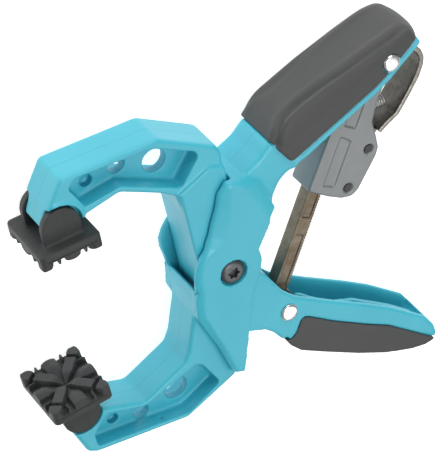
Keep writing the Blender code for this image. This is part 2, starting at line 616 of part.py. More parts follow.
# torsion spring wound round the bush, one leg free in the frame's box
coil = bpy.data.curves.new("torsion_spring_path", "CURVE")
coil.dimensions = "3D"
coil.bevel_depth = 0.9 * MM
coil.bevel_resolution = 2
coil.use_fill_caps = True
pts = []
turns, r_c, half_w = 4.6, 7.6, 5.0
steps = int(turns * 14)
start = math.radians(100.0)
for i in range(steps + 1):
    a = start + 2 * math.pi * turns * i / steps
    pts.append((r_c * math.cos(a), r_c * math.sin(a),
                -half_w + 2 * half_w * i / steps))
t_end = start + 2 * math.pi * turns
d_end = Vector((-math.sin(t_end), math.cos(t_end)))
pts.append((pts[-1][0] + d_end.x * 5.0, pts[-1][1] + d_end.y * 5.0, half_w))
sp = coil.splines.new("POLY")
sp.points.add(len(pts) - 1)
for q, p in zip(sp.points, pts):
    q.co = (p[0] * MM, p[1] * MM, p[2] * MM, 1.0)
torsion_spring = link(bpy.data.objects.new("torsion_spring_path", coil), PARTS)
torsion_spring = to_mesh(torsion_spring, "torsion_spring", PARTS)
finish(torsion_spring, SPRINGM)

lower_rivet = rivet("lower_rivet", RIVET_A, 14.2, rise=1.3)
finish(lower_rivet, CHROME)
upper_pad_pin = drum("upper_pad_pin", *UP_KNUCKLE, -11.6, 11.6, PIN_R - 0.1, 16)
finish(upper_pad_pin, PINM)

for s, tag in ((1, "near"), (-1, "far")):
    lo, hi = (4.8, 10.4) if s > 0 else (-10.4, -4.8)
    sp_ = drum("bar_spacer_" + tag, *RIVET_A, lo, hi, 4.4, 20)
    cut(sp_, cdrum("bar_spacer_bore_" + tag, *RIVET_A, -16, 16, RIVET_R + 0.3, 20))
    finish(sp_, BUSHM)


# ================================================================ swivel pads
def pad(tag, knuckle, tilt, side):
    """Carrier with two discs, and the rubber tread.  side is +1 when the
    gripping face is on the left of the tilt direction, -1 on the right."""
    h = PAD_L / 2
    top = PAD_RISE
    t0 = top - 5.0                     # underside of the tread
    p0 = t0 - PLATE_T                  # underside of the carrier plate

    def loc(pts):
        return [(x, side * y) for x, y in pts]

    plate = slab(tag + "_pad_carrier", along(knuckle, tilt, loc(
        [(-h, p0), (h, p0), (h, t0 - 0.3), (-h, t0 - 0.3)])), -PAD_W, PAD_W)
    chamfer(plate, 1.0)
    discs = []
    for s, t in ((1, "near"), (-1, "far")):
        lo, hi = (TIP_W + 0.3, DISC_OUT) if s > 0 else (-DISC_OUT, -TIP_W - 0.3)
        discs.append(cdrum(tag + "_disc_" + t, *knuckle, lo, hi, DISC_R, 32))
        discs.append(cslab(tag + "_foot_" + t, along(knuckle, tilt, loc(
            [(-DISC_R, 0), (DISC_R, 0), (DISC_R, p0 + 1), (-DISC_R, p0 + 1)])),
            lo, hi))
    union(plate, *discs)
    # discs that reach past the plate are trimmed level with its underside
    cut(plate, cslab(tag + "_trim", along(knuckle, tilt, loc(
        [(-30, t0 - 0.3), (30, t0 - 0.3), (30, t0 + 20), (-30, t0 + 20)])), -30, 30),
        cdrum(tag + "_carrier_bore", *knuckle, -12.0, 12.0, PIN_R, 20))
    finish(plate, PADM, knuckle)

    base = slab(tag + "_pad_tread", along(knuckle, tilt, loc(
        [(-h, t0), (h, t0), (h, t0 + TREAD_T), (-h, t0 + TREAD_T)])),
        -PAD_W, PAD_W)
    blocks = []
    # four diagonal arms of blocks, then four mid-edge lobes

    def block(name, cx, cw, lx, lw, rot, high=5.0):
        me = bpy.data.meshes.new(name)
        bm = bmesh.new()
        bmesh.ops.create_cube(bm, size=1.0)
        bmesh.ops.scale(bm, verts=bm.verts,
                        vec=(lx * MM, (high - 1.0) * MM, lw * MM))
        bmesh.ops.rotate(bm, verts=bm.verts, cent=(0, 0, 0),
                         matrix=Matrix.Rotation(rot, 3, "Y"))
        bmesh.ops.translate(bm, verts=bm.verts, vec=(
            cx * MM, (t0 + 1.0 + (high - 1.0) / 2) * MM, cw * MM))
        bm.to_mesh(me)
        bm.free()
        ob = link(bpy.data.objects.new(name, me), CUTTERS)
        m = Matrix.Scale(side, 4, (0, 1, 0))
        ob.data.transform(m)
        if side < 0:
            ob.data.flip_normals()
        ob.data.transform(Matrix.Translation((knuckle[0] * MM, knuckle[1] * MM, 0))
                          @ Matrix.Rotation(math.radians(tilt), 4, "Z"))
        return ob
    k = 0
    diag = math.atan2(PAD_W, h)
    for sx in (-1, 1):
        for sw in (-1, 1):
            for rad, lx in ((8.2, 9.4), (18.4, 7.4)):
                k += 1
                blocks.append(block("%s_block_%d" % (tag, k),
                                    sx * rad * math.cos(diag), sw * rad * math.sin(diag),
                                    lx, 4.8, -sx * sw * diag))
    for a, (cx, cw, lx, lw) in enumerate(((-h + 3.4, 0, 6.6, 7.4), (h - 3.4, 0, 6.6, 7.4),
                                         (0, -PAD_W + 4.0, 6.6, 7.8),
                                         (0, PAD_W - 4.0, 6.6, 7.8))):
        blocks.append(block("%s_lobe_%d" % (tag, a), cx, cw, lx, lw, 0.0))
    union(base, *blocks)
    # trim the blocks flush with the pad's edges
    meet(base, cslab(tag + "_edge", along(knuckle, tilt, loc(
        [(-h, 0), (h, 0), (h, 30), (-h, 30)])), -PAD_W, PAD_W))
    finish(base, PADM, knuckle)
    return plate, base


upper_carrier, upper_tread = pad("upper", UP_KNUCKLE, UP_TILT, -1)
lower_carrier, lower_tread = pad("lower", LO_KNUCKLE, LO_TILT, 1)

# ============================================================ ratchet housing
BAR_O = along(RIVET_A, BAR_ANGLE, [(0.0, BAR_SET)])[0]   # foot of the bar line
house = slab("ratchet_housing", rounded([
    (43.6, 34.6, 1), (56.4, 30.0), (64.5, 27.9, 3), (70.8, 28.3, 4), (74.0, 31.8, 2),
    (81.2, 50.6, 3), (81.8, 55.4, 3), (78.4, 64.0, 2), (75.4, 70.6, 2), (76.0, 82.0, 2),
    (81.0, 101.0), (82.5, 107.0), (79.5, 113.0), (74.0, 114.2), (67.5, 109.5),
    (60.5, 94.0), (53.5, 76.0, 3), (50.6, 66.0)], 2), -HOUSE_W, HOUSE_W)
chamfer(house, 0.7)
h0 = BAR_H + 0.35
house_cuts = [
    cslab("bar_channel", along(BAR_O, BAR_ANGLE, [
        (55.0, -h0), (160.0, -h0), (160.0, h0), (55.0, h0)]), -HOUSE_IN, HOUSE_IN),
    cslab("pawl_room", along(BAR_O, BAR_ANGLE, [
        (64.6, -h0 + 1), (64.6, -18.5), (68.0, -20.6), (79.0, -23.6),
        (86.0, -26.8), (90.5, -40.0), (112.0, -40.0), (103.5, -18.0),
        (99.0, -13.0), (83.0, -12.0), (82.0, -h0 + 1)]), -HOUSE_IN, HOUSE_IN),
    cdrum("house_rivet_hole", *RIVET_B, -12, 12, RIVET_R + 0.3, 20),
    cdrum("lever_pin_hole", *LEVER_PIN, -12, 12, 2.25, 16),
    cdrum("pawl_pin_hole", *PAWL_PIN, -12, 12, 2.25, 16)]
for s, tag in ((1, "near"), (-1, "far")):
    lo, hi = (HOUSE_W - 0.9, 12.0) if s > 0 else (-12.0, -HOUSE_W + 0.9)
    for nm, at in (("lever", LEVER_PIN), ("pawl", PAWL_PIN)):
        house_cuts.append(cdrum("%s_dimple_%s" % (nm, tag), *at, lo, hi, 2.9, 20))
    # two long recessed panels on each face
    house_cuts.append(cslab("panel_low_" + tag, along(BAR_O, BAR_ANGLE, [
        (70.2, 0.6), (70.2, -6.6), (96.5, -6.6), (98.5, 0.6)]), lo, hi))
    house_cuts.append(cslab("panel_high_" + tag, along(BAR_O, BAR_ANGLE, [
        (104.5, 0.6), (103.5, -6.6), (122.0, -6.6), (122.0, 0.6)]), lo, hi))
cut(house, *house_cuts)
ratchet_housing = finish(house, ZINC, RIVET_B)

lever_pin = drum("lever_pin", *LEVER_PIN, -8.6, 8.6, 2.2, 20)
finish(lever_pin, PINM, RIVET_B)
pawl_pin = drum("pawl_pin", *PAWL_PIN, -8.6, 8.6, 2.2, 20)
finish(pawl_pin, PINM, RIVET_B)
for s, tag in ((1, "near"), (-1, "far")):
    lo, hi = (9.3, 12.3) if s > 0 else (-12.3, -9.3)
    sp_ = drum("housing_spacer_" + tag, *RIVET_B, lo, hi, 4.6, 20)
    cut(sp_, cdrum("housing_spacer_bore_" + tag, *RIVET_B, -16, 16, RIVET_R + 0.3, 20))
    finish(sp_, BUSHM, RIVET_B)

# ================================================================ toothed bar
teeth = []
x = -2.0
x0, x1 = 6.0, BAR_TOP - 2.0
n_teeth = int((x1 - x0) / TOOTH_PITCH)
profile = [(BAR_TOP, BAR_H), (-4.0, BAR_H), (-4.0, -BAR_H), (x0, -BAR_H)]
for i in range(n_teeth):
    a = x0 + i * TOOTH_PITCH
    profile += [(a + 0.25, -BAR_H), (a + 0.45, -BAR_H + TOOTH_DEPTH),
                (a + TOOTH_PITCH - 0.05, -BAR_H)]
profile += [(BAR_TOP, -BAR_H)]
bar = slab("ratchet_bar", along(BAR_O, BAR_ANGLE, profile), -BAR_T, BAR_T)
eye = cdrum("bar_eye", *RIVET_A, -BAR_T, BAR_T, 8.0, 32)
union(bar, eye)
bar_cuts = [cdrum("bar_eye_hole", *RIVET_A, -8, 8, 6.1, 28)]
win = 0
a = 14.0
while a < BAR_TOP - 12.0:
    for s, tag in ((1, "near"), (-1, "far")):
        lo, hi = (BAR_T - 0.8, 6.0) if s > 0 else (-6.0, -BAR_T + 0.8)
        bar_cuts.append(cslab("bar_window_%d_%s" % (win, tag), along(
            BAR_O, BAR_ANGLE, [(a, 2.6), (a, -2.4), (a + 15.5, -2.4),
                               (a + 15.5, 2.6)]), lo, hi))
    win += 1
    a += 22.5
cut(bar, *bar_cuts)
ratchet_bar = finish(bar, BARM, BAR_O)

# ============================================================= release lever
def offset_strip(pts, t):
    """Closed outline of a strip of thickness t to the left of a polyline."""
    left = []
    for i, p in enumerate(pts):
        p = Vector(p)
        a = Vector(pts[max(i - 1, 0)])
        b = Vector(pts[min(i + 1, len(pts) - 1)])
        d = (b - a).normalized()
        left.append((p.x - d.y * t, p.y + d.x * t))
    return list(pts) + list(reversed(left))


LEVER_LINE = [(81.7, 63.3), (84.4, 66.7), (87.6, 69.9), (90.5, 72.6), (92.4, 76.8),
              (96.0, 85.3), (98.8, 93.5), (100.0, 100.4), (99.4, 105.0), (96.9, 108.8), (93.8, 111.0)]
blade = slab("release_lever", offset_strip(LEVER_LINE, LEVER_T), -LEVER_W, LEVER_W)
tongue = cslab("lever_tongue", [(72.4, 54.4), (73.4, 52.0), (76.2, 51.4), (78.6, 52.6),
                                (79.2, 55.6), (82.0, 61.4), (86.2, 67.6), (84.0, 69.8), (78.0, 64.0), (74.4, 58.4)],
               -HOUSE_IN + 0.4, HOUSE_IN - 0.4)
union(blade, tongue)
cut(blade, cdrum("lever_bore", *LEVER_PIN, -6, 6, 2.5, 20))
release_lever = finish(blade, LEVM, LEVER_PIN)

# return spring between the housing and the lever
S0, S1 = (77.9, 76.6), (88.2, 79.2)
ax = Vector((S1[0] - S0[0], S1[1] - S0[1]))
length = ax.length
ax.normalize()
side_v = Vector((-ax.y, ax.x))
coil = bpy.data.curves.new("lever_spring_path", "CURVE")
coil.dimensions = "3D"
coil.bevel_depth = 0.5 * MM
coil.bevel_resolution = 2
coil.use_fill_caps = True
pts = []
turns, r_c = 4.5, 3.3
steps = int(turns * 12)
for i in range(steps + 1):
    a = 2 * math.pi * turns * i / steps
    s = 0.8 + (length - 1.6) * i / steps
    c = Vector(S0) + ax * s + side_v * (r_c * math.cos(a))
    pts.append((c.x, c.y, r_c * math.sin(a)))
sp = coil.splines.new("POLY")
sp.points.add(len(pts) - 1)
for q, p in zip(sp.points, pts):
    q.co = (p[0] * MM, p[1] * MM, p[2] * MM, 1.0)
lever_spring = link(bpy.data.objects.new("lever_spring_path", coil), PARTS)
lever_spring = to_mesh(lever_spring, "lever_spring", PARTS)
finish(lever_spring, SPRINGM, RIVET_B)

# ====================================================================== pawl
pawl = slab("pawl", rounded(along(PAWL_PIN, BAR_ANGLE, [
    (-4.0, -1.5, 2), (-4.0, 2.0, 2), (1.2, 6.4, 2), (3.4, 10.5), (4.6, 10.6, 0.4), (8.4, 6.0, 1.5),
    (6.0, 0.0, 2), (3.4, -3.6, 2), (-2.0, -4.0, 2)]), 3), -3.6, 3.6)
cut(pawl, cdrum("pawl_bore", *PAWL_PIN, -6, 6, 2.45, 20))
finish(pawl, PINM, PAWL_PIN)

# ============================================== set the clamp on its side
root = bpy.data.objects.new("clamp_datum", None)
root.location = (PIVOT_X * MM, PIVOT_Y * MM, PIVOT_Z * MM)
PARTS.objects.link(root)
for ob in list(PARTS.objects) + list(CUTTERS.objects):
    if ob is not root:
        ob.parent = root
bpy.context.view_layer.update()
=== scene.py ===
# Looks of the ratcheting hand clamp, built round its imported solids.
#
# Clamp coordinates are millimetres: u, v in the plane the jaws swing in with
# the main pivot at (0, 0), w through the thickness with the mid-plane at 0.
import bpy
import bmesh
import json
import math
import numpy as np
from mathutils import Vector, Matrix


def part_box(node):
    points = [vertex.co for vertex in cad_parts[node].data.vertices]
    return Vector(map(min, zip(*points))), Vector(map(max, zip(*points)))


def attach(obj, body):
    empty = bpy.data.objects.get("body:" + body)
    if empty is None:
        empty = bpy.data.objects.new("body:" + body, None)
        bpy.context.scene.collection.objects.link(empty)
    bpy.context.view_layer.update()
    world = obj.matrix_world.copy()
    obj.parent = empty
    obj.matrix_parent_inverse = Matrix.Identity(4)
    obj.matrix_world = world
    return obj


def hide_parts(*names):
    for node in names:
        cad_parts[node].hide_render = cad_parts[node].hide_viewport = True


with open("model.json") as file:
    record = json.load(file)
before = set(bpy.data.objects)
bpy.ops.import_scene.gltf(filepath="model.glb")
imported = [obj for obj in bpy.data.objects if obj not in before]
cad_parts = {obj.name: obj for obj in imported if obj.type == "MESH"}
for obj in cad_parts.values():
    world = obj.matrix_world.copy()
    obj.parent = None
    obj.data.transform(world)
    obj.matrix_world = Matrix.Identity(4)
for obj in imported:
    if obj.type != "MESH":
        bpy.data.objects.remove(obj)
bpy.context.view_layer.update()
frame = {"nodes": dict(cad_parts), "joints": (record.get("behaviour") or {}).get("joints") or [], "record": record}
NODES = frame["nodes"]
JOINTS = {j["name"]: j for j in frame["joints"]}
PIVOT = Vector(JOINTS["jaw_pivot"]["pos_m"])
PIVOT.z = (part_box("clamp_frame")[0].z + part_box("clamp_frame")[1].z) / 2
MM = 0.001
scene = bpy.context.scene


def W(u, v, w=0.0):
    return Vector((PIVOT.x + u * MM, PIVOT.y + v * MM, PIVOT.z + w * MM))


def uvw(co):
    """World metres (n, 3) to clamp millimetres."""
    return (co - np.array(PIVOT)) / MM


def xyz(p):
    return np.asarray(p, float) * MM + np.array(PIVOT)


# ------------------------------------------------------------ mesh helpers
def new_object(name, mesh):
    ob = bpy.data.objects.new(name, mesh)
    scene.collection.objects.link(ob)
    return ob


def drop(ob):
    me = ob.data
    bpy.data.objects.remove(ob, do_unlink=True)
    if isinstance(me, bpy.types.Mesh) and me.users == 0:
        bpy.data.meshes.remove(me)


def copy_node(name, new_name):
    me = NODES[name].data.copy()
    me.name = new_name
    me.materials.clear()
    bm = bmesh.new()
    bm.from_mesh(me)
    bmesh.ops.remove_doubles(bm, verts=bm.verts, dist=1e-7)
    bm.to_mesh(me)
    bm.free()
    for a in list(me.attributes):
        if a.name.startswith("sharp") or a.name == "custom_normal":
            me.attributes.remove(a)
    return new_object(new_name, me)


def applied(ob):
    bpy.context.view_layer.update()
    deps = bpy.context.evaluated_depsgraph_get()
    me = bpy.data.meshes.new_from_object(ob.evaluated_get(deps))
    old = ob.data
    ob.modifiers.clear()
    ob.data = me
    if old.users == 0:
        bpy.data.meshes.remove(old)
    me.name = ob.name
    return ob


def boolean(ob, others, op="UNION"):
    for o in others:
        m = ob.modifiers.new("b", "BOOLEAN")
        m.operation = op
        m.solver = "EXACT"
        m.object = o
    applied(ob)
    for o in others:
        drop(o)
    return ob


def voxel(ob, size_mm):
    m = ob.modifiers.new("r", "REMESH")
    m.mode = "VOXEL"
    m.voxel_size = size_mm * MM
    m.adaptivity = 0.0
    return applied(ob)


def get_co(me):
    co = np.empty(len(me.vertices) * 3, np.float64)
    me.vertices.foreach_get("co", co)
    return co.reshape(-1, 3)


def set_co(me, co):
    me.vertices.foreach_set("co", np.ascontiguousarray(co, np.float32).ravel())
    me.update()


def normals(me):
    n = np.empty(len(me.vertices) * 3, np.float32)
    me.vertices.foreach_get("normal", n)
    return n.reshape(-1, 3).astype(float)


def edges_of(me):
    e = np.empty(len(me.edges) * 2, np.int32)
    me.edges.foreach_get("vertices", e)
    return e.reshape(-1, 2)


def smooth(ob, times, weight=None, lam=0.5, mu=-0.52):
    """Volume-keeping smoothing; weight (n,) limits it per vertex."""
    me = ob.data
    co = get_co(me)
    e = edges_of(me)
    n = len(co)
    deg = np.bincount(e.ravel(), minlength=n).astype(float)
    deg[deg == 0] = 1
    w = np.ones(n) if weight is None else weight
    for _ in range(times):
        for k in (lam, mu):
            acc = np.empty_like(co)
            for c in range(3):
                acc[:, c] = (np.bincount(e[:, 0], co[e[:, 1], c], n)
                             + np.bincount(e[:, 1], co[e[:, 0], c], n))
            co = co + (acc / deg[:, None] - co) * (k * w)[:, None]
    set_co(me, co)
    return ob


def relax(ob, times, weight=None, lam=0.5):
    """Plain smoothing, which also rounds edges."""
    return smooth(ob, times, weight, lam, 0.0)


def shade(ob, angle=None):
    ob.data.shade_smooth()
    if angle:
        ob.data.set_sharp_from_angle(angle=math.radians(angle))
    return ob


def seg_dist(p, pts):
    """Distance from points (n, k) to a polyline of k-D points."""
    p = np.asarray(p, float)
    best = np.full(len(p), 1e9)
    pts = [np.asarray(q, float) for q in pts]
    for a, b in zip(pts, pts[1:]):
        d = b - a
        t = np.clip(((p - a) @ d) / max(d @ d, 1e-12), 0, 1)
        best = np.minimum(best, np.linalg.norm(p - (a + t[:, None] * d), axis=1))
    return best


def inside(p, poly):
    """Points (n, 2) inside a polygon."""
    x, y = p[:, 0], p[:, 1]
    res = np.zeros(len(p), bool)
    k = len(poly)
    for i in range(k):
        x0, y0 = poly[i - 1]
        x1, y1 = poly[i]
        if y0 == y1:
            continue
        c = (y0 > y) != (y1 > y)
        res ^= c & (x < (x1 - x0) * (y - y0) / (y1 - y0) + x0)
    return res


def step(x, a, b):
    t = np.clip((x - a) / (b - a), 0, 1)
    return t * t * (3 - 2 * t)


def spline(points, n=8):
    """Catmull-Rom through the points."""
    out = []
    pts = [np.asarray(p, float) for p in points]
    for i in range(len(pts) - 1):
        p0 = pts[max(i - 1, 0)]
        p1, p2 = pts[i], pts[i + 1]
        p3 = pts[min(i + 2, len(pts) - 1)]
        for j in range(n):
            t = j / n
            out.append(0.5 * ((2 * p1) + (p2 - p0) * t + (2 * p0 - 5 * p1 + 4 * p2 - p3) * t ** 2
                              + (3 * p1 - p0 - 3 * p2 + p3) * t ** 3))
    out.append(pts[-1])
    return out


def slab(name, points, w0, w1):
    """Outline (u, v) extruded from w0 to w1, closed."""
    me = bpy.data.meshes.new(name)
    bm = bmesh.new()
    low = [bm.verts.new(W(p[0], p[1], w0)) for p in points]
    top = [bm.verts.new(W(p[0], p[1], w1)) for p in points]
    bm.faces.new(low)
    bm.faces.new(top)
    n = len(low)
    for i in range(n):
        j = (i + 1) % n
        bm.faces.new((low[i], low[j], top[j], top[i]))
    bmesh.ops.recalc_face_normals(bm, faces=bm.faces)
    bmesh.ops.triangulate(bm, faces=[f for f in bm.faces if len(f.verts) > 4])
    bm.to_mesh(me)
    bm.free()
    return new_object(name, me)


def loft(name, levels):
    me = bpy.data.meshes.new(name)
    bm = bmesh.new()
    rings = [[bm.verts.new(W(p[0], p[1], w)) for p in line] for w, line in levels]
    n = len(rings[0])
    bm.faces.new(rings[0])
    bm.faces.new(rings[-1])
    for a, b in zip(rings, rings[1:]):
        for i in range(n):
            j = (i + 1) % n
            bm.faces.new((a[i], a[j], b[j], b[i]))
    bmesh.ops.recalc_face_normals(bm, faces=bm.faces)
    bmesh.ops.triangulate(bm, faces=bm.faces)
    bm.to_mesh(me)
    bm.free()
    return new_object(name, me)


def lathe(name, cu, cv, profile, n=64, axis=None):
    """(radius, w) profile turned about w through (cu, cv), closed at r = 0."""
    me = bpy.data.meshes.new(name)
    bm = bmesh.new()
    rings = []
    for r, w in profile:
        if r <= 1e-6:
            rings.append([bm.verts.new(W(cu, cv, w))])
        else:
            rings.append([bm.verts.new(W(cu + r * math.cos(2 * math.pi * i / n),
                                         cv + r * math.sin(2 * math.pi * i / n), w))
                          for i in range(n)])
    for a, b in zip(rings, rings[1:]):
        if len(a) == 1 and len(b) == 1:
            continue
        for i in range(n):
            j = (i + 1) % n
            if len(a) == 1:
                bm.faces.new((a[0], b[i], b[j]))
            elif len(b) == 1:
                bm.faces.new((a[i], a[j], b[0]))
            else:
                bm.faces.new((a[i], a[j], b[j], b[i]))
    if len(rings[0]) > 1:
        bm.faces.new(rings[0])
    if len(rings[-1]) > 1:
        bm.faces.new(rings[-1])
    bmesh.ops.recalc_face_normals(bm, faces=bm.faces)
    bm.to_mesh(me)
    bm.free()
    return new_object(name, me)


def arcs(profile, k=4):
    """Rounds a (r, w) profile: entries (r, w, radius)."""
    out = []
    for i, p in enumerate(profile):
        if len(p) < 3 or i in (0, len(profile) - 1):
            out.append((p[0], p[1]))
            continue
        c = Vector(p[:2])
        a = Vector(profile[i - 1][:2]) - c
        b = Vector(profile[i + 1][:2]) - c
        cut = min(p[2], 0.45 * a.length, 0.45 * b.length)
        a.normalize(); b.normalize()
        p0, p1 = c + a * cut, c + b * cut
        for j in range(k + 1):
            t = j / k
            q = p0 * (1 - t) ** 2 + c * 2 * t * (1 - t) + p1 * t ** 2
            out.append((q.x, q.y))
    return out


def tube(name, pts, radius, sides=12):
    """Round wire along world points, with rounded ends."""
    pts = [Vector(p) for p in pts]
    me = bpy.data.meshes.new(name)
    bm = bmesh.new()
    rings = []
    up = None
    n = len(pts)
    for i, p in enumerate(pts):
        t = (pts[min(i + 1, n - 1)] - pts[max(i - 1, 0)]).normalized()
        if up is None:
            up = t.orthogonal().normalized()
        up = (up - t * up.dot(t)).normalized()
        side = t.cross(up)
        rings.append([bm.verts.new(p + (up * math.cos(a) + side * math.sin(a)) * radius)
                      for a in (2 * math.pi * k / sides for k in range(sides))])
    for a, b in zip(rings, rings[1:]):
        for k in range(sides):
            l = (k + 1) % sides
            bm.faces.new((a[k], a[l], b[l], b[k]))
    for ring, p, q in ((rings[0], pts[0], pts[1]), (rings[-1], pts[-1], pts[-2])):
        tip = bm.verts.new(p + (p - q).normalized() * radius * 0.5)
        for k in range(sides):
            bm.faces.new((ring[k], ring[(k + 1) % sides], tip))
    bmesh.ops.recalc_face_normals(bm, faces=bm.faces)
    bm.to_mesh(me)
    bm.free()
    return shade(new_object(name, me))


# --------------------------------------------------------------- materials
class Mat:
    """Small builder for procedural materials in object space."""

    def __init__(self, name, rough=0.5, metal=0.0, spec=0.5, ior=1.46, coat=0.0,
                 coat_rough=0.1, sheen=0.0):
        self.m = bpy.data.materials.new(name)
        self.m.use_nodes = True
        self.t = self.m.node_tree
        self.b = self.t.nodes["Principled BSDF"]
        self.b.inputs["Roughness"].default_value = rough
        self.b.inputs["Metallic"].default_value = metal
        self.b.inputs["Specular IOR Level"].default_value = spec
        self.b.inputs["IOR"].default_value = ior
        self.b.inputs["Coat Weight"].default_value = coat
        self.b.inputs["Coat Roughness"].default_value = coat_rough
        self.b.inputs["Sheen Weight"].default_value = sheen
        self.co = self.node("ShaderNodeTexCoord").outputs["Object"]
        self.height = None

    def node(self, kind, **values):
        n = self.t.nodes.new(kind)
        for k, v in values.items():
            if k in n.inputs:
                self.put(n.inputs[k], v)
            else:
                setattr(n, k, v)
        return n

    def put(self, sock, v):
        if isinstance(v, bpy.types.NodeSocket):
            self.t.links.new(v, sock)
        else:
            sock.default_value = v

    def math(self, op, a, b=0.0, c=None, clamp=False):
        n = self.node("ShaderNodeMath", operation=op, use_clamp=clamp)
        self.put(n.inputs[0], a)
        self.put(n.inputs[1], b)
        if c is not None:
            self.put(n.inputs[2], c)
        return n.outputs[0]

    def noise(self, scale, detail=2.0, rough=0.5, stretch=None, distort=0.0):
        co = self.co
        if stretch is not None:
            rot, scl = stretch
            mp = self.node("ShaderNodeMapping")
            self.put(mp.inputs["Vector"], co)
            mp.inputs["Rotation"].default_value = (0, 0, rot)
            mp.inputs["Scale"].default_value = scl
            co = mp.outputs[0]
        n = self.node("ShaderNodeTexNoise", Scale=scale, Detail=detail, Roughness=rough,
                      Distortion=distort)
        self.put(n.inputs["Vector"], co)
        return n.outputs["Fac"]

    def ramp(self, fac, stops):
        n = self.node("ShaderNodeValToRGB")
        self.put(n.inputs[0], fac)
        e = n.color_ramp.elements
        while len(e) > 1:
            e.remove(e[-1])
        e[0].position, e[0].color = stops[0][0], (*stops[0][1], 1.0)
        for pos, col in stops[1:]:
            x = e.new(pos)
            x.color = (*col, 1.0)
        return n.outputs[0]

    def mix(self, fac, a, b, blend="MIX"):
        n = self.node("ShaderNodeMix", data_type="RGBA", blend_type=blend)
        self.put(n.inputs[0], fac)
        for sock, v in ((n.inputs[6], a), (n.inputs[7], b)):
            if isinstance(v, tuple):
                v = (*v, 1.0) if len(v) == 3 else v
            self.put(sock, v)
        return n.outputs[2]

    def scale01(self, fac, lo, hi, a=0.0, b=1.0):
        n = self.node("ShaderNodeMapRange", clamp=True)
        self.put(n.inputs[0], fac)
        n.inputs[1].default_value, n.inputs[2].default_value = lo, hi
        n.inputs[3].default_value, n.inputs[4].default_value = a, b
        return n.outputs[0]

    def color(self, v):
        if isinstance(v, tuple):
            v = (*v, 1.0)
        self.put(self.b.inputs["Base Color"], v)

    def rough(self, v):
        self.put(self.b.inputs["Roughness"], v)

    def bump(self, fac, depth_mm, strength=1.0):
        n = self.node("ShaderNodeBump", Strength=strength, Distance=depth_mm * MM)
        self.put(n.inputs["Height"], fac)
        if self.height is not None:
            self.put(n.inputs["Normal"], self.height)
        self.height = n.outputs[0]
        self.put(self.b.inputs["Normal"], self.height)

    def axis(self, which):
        n = self.node("ShaderNodeSeparateXYZ")
        self.put(n.inputs[0], self.co)
        return n.outputs[which]


def nylon_material():
    m = Mat("cyan_nylon", rough=0.42, spec=0.52, ior=1.53)
    big = m.noise(26.0, 2.0, 0.5)
    fine = m.noise(900.0, 3.0, 0.6)
    grain = m.noise(4200.0, 2.0, 0.6)
    col = m.ramp(big, [(0.30, (0.048, 0.470, 0.600)), (0.70, (0.058, 0.510, 0.640))])
    col = m.mix(m.scale01(fine, 0.35, 0.75, 0.0, 0.10), col, (0.10, 0.55, 0.68))
    # faint line where the two halves of the mould met, on surfaces along w
    wz = m.math("SUBTRACT", m.axis(2), PIVOT.z)
    line = m.math("LESS_THAN", m.math("ABSOLUTE", wz), 0.00027)
    geo = m.node("ShaderNodeNewGeometry")
    sep = m.node("ShaderNodeSeparateXYZ")
    m.put(sep.inputs[0], geo.outputs["Normal"])
    flat = m.math("LESS_THAN", m.math("ABSOLUTE", sep.outputs[2]), 0.35)
    line = m.math("MULTIPLY", line, flat)
    col = m.mix(m.math("MULTIPLY", line, 0.55), col, (0.04, 0.34, 0.44))
    m.color(col)
    m.rough(m.scale01(fine, 0.3, 0.8, 0.36, 0.46))
    m.bump(grain, 0.020, 0.35)
    m.bump(fine, 0.05, 0.18)
    m.bump(m.math("SMOOTH_MAX", m.math("SUBTRACT", 1.0, m.math("DIVIDE", m.math("ABSOLUTE", wz), 0.0003)), 0.0, 0.1), 0.12, 0.5)
    return m.m


def grip_material():
    m = Mat("dark_grip", rough=0.60, spec=0.42, sheen=0.08)
    big = m.noise(18.0, 3.0, 0.55)
    fine = m.noise(1500.0, 3.0, 0.65)
    grain = m.noise(5200.0, 2.0, 0.7)
    col = m.ramp(big, [(0.30, (0.060, 0.062, 0.063)), (0.70, (0.074, 0.075, 0.074))])
    col = m.mix(m.scale01(fine, 0.45, 0.80, 0.0, 0.16), col, (0.105, 0.108, 0.107))
    m.color(col)
    m.rough(m.scale01(fine, 0.3, 0.8, 0.54, 0.68))
    m.bump(grain, 0.035, 0.5)
    m.bump(fine, 0.05, 0.3)
    return m.m


def pad_material():
    m = Mat("black_pad", rough=0.56, spec=0.45, sheen=0.05)
    big = m.noise(70.0, 3.0, 0.6)
    fine = m.noise(1300.0, 4.0, 0.65)
    col = m.ramp(big, [(0.30, (0.029, 0.031, 0.032)), (0.72, (0.043, 0.045, 0.045))])
    col = m.mix(m.scale01(fine, 0.52, 0.80, 0.0, 0.28), col, (0.075, 0.075, 0.073))
    m.color(col)
    m.rough(m.scale01(fine, 0.3, 0.8, 0.48, 0.68))
    m.bump(fine, 0.06, 0.35)
    return m.m


def housing_material():
    m = Mat("zinc_housing", rough=0.46, metal=0.35, spec=0.5)
    big = m.noise(45.0, 3.0, 0.6)
    fine = m.noise(1700.0, 3.0, 0.6)
    col = m.ramp(big, [(0.30, (0.245, 0.257, 0.263)), (0.72, (0.285, 0.296, 0.301))])
    col = m.mix(m.scale01(fine, 0.50, 0.85, 0.0, 0.2), col, (0.26, 0.27, 0.275))
    m.color(col)
    m.rough(m.scale01(fine, 0.3, 0.8, 0.40, 0.54))
    m.bump(fine, 0.05, 0.35)
    return m.m


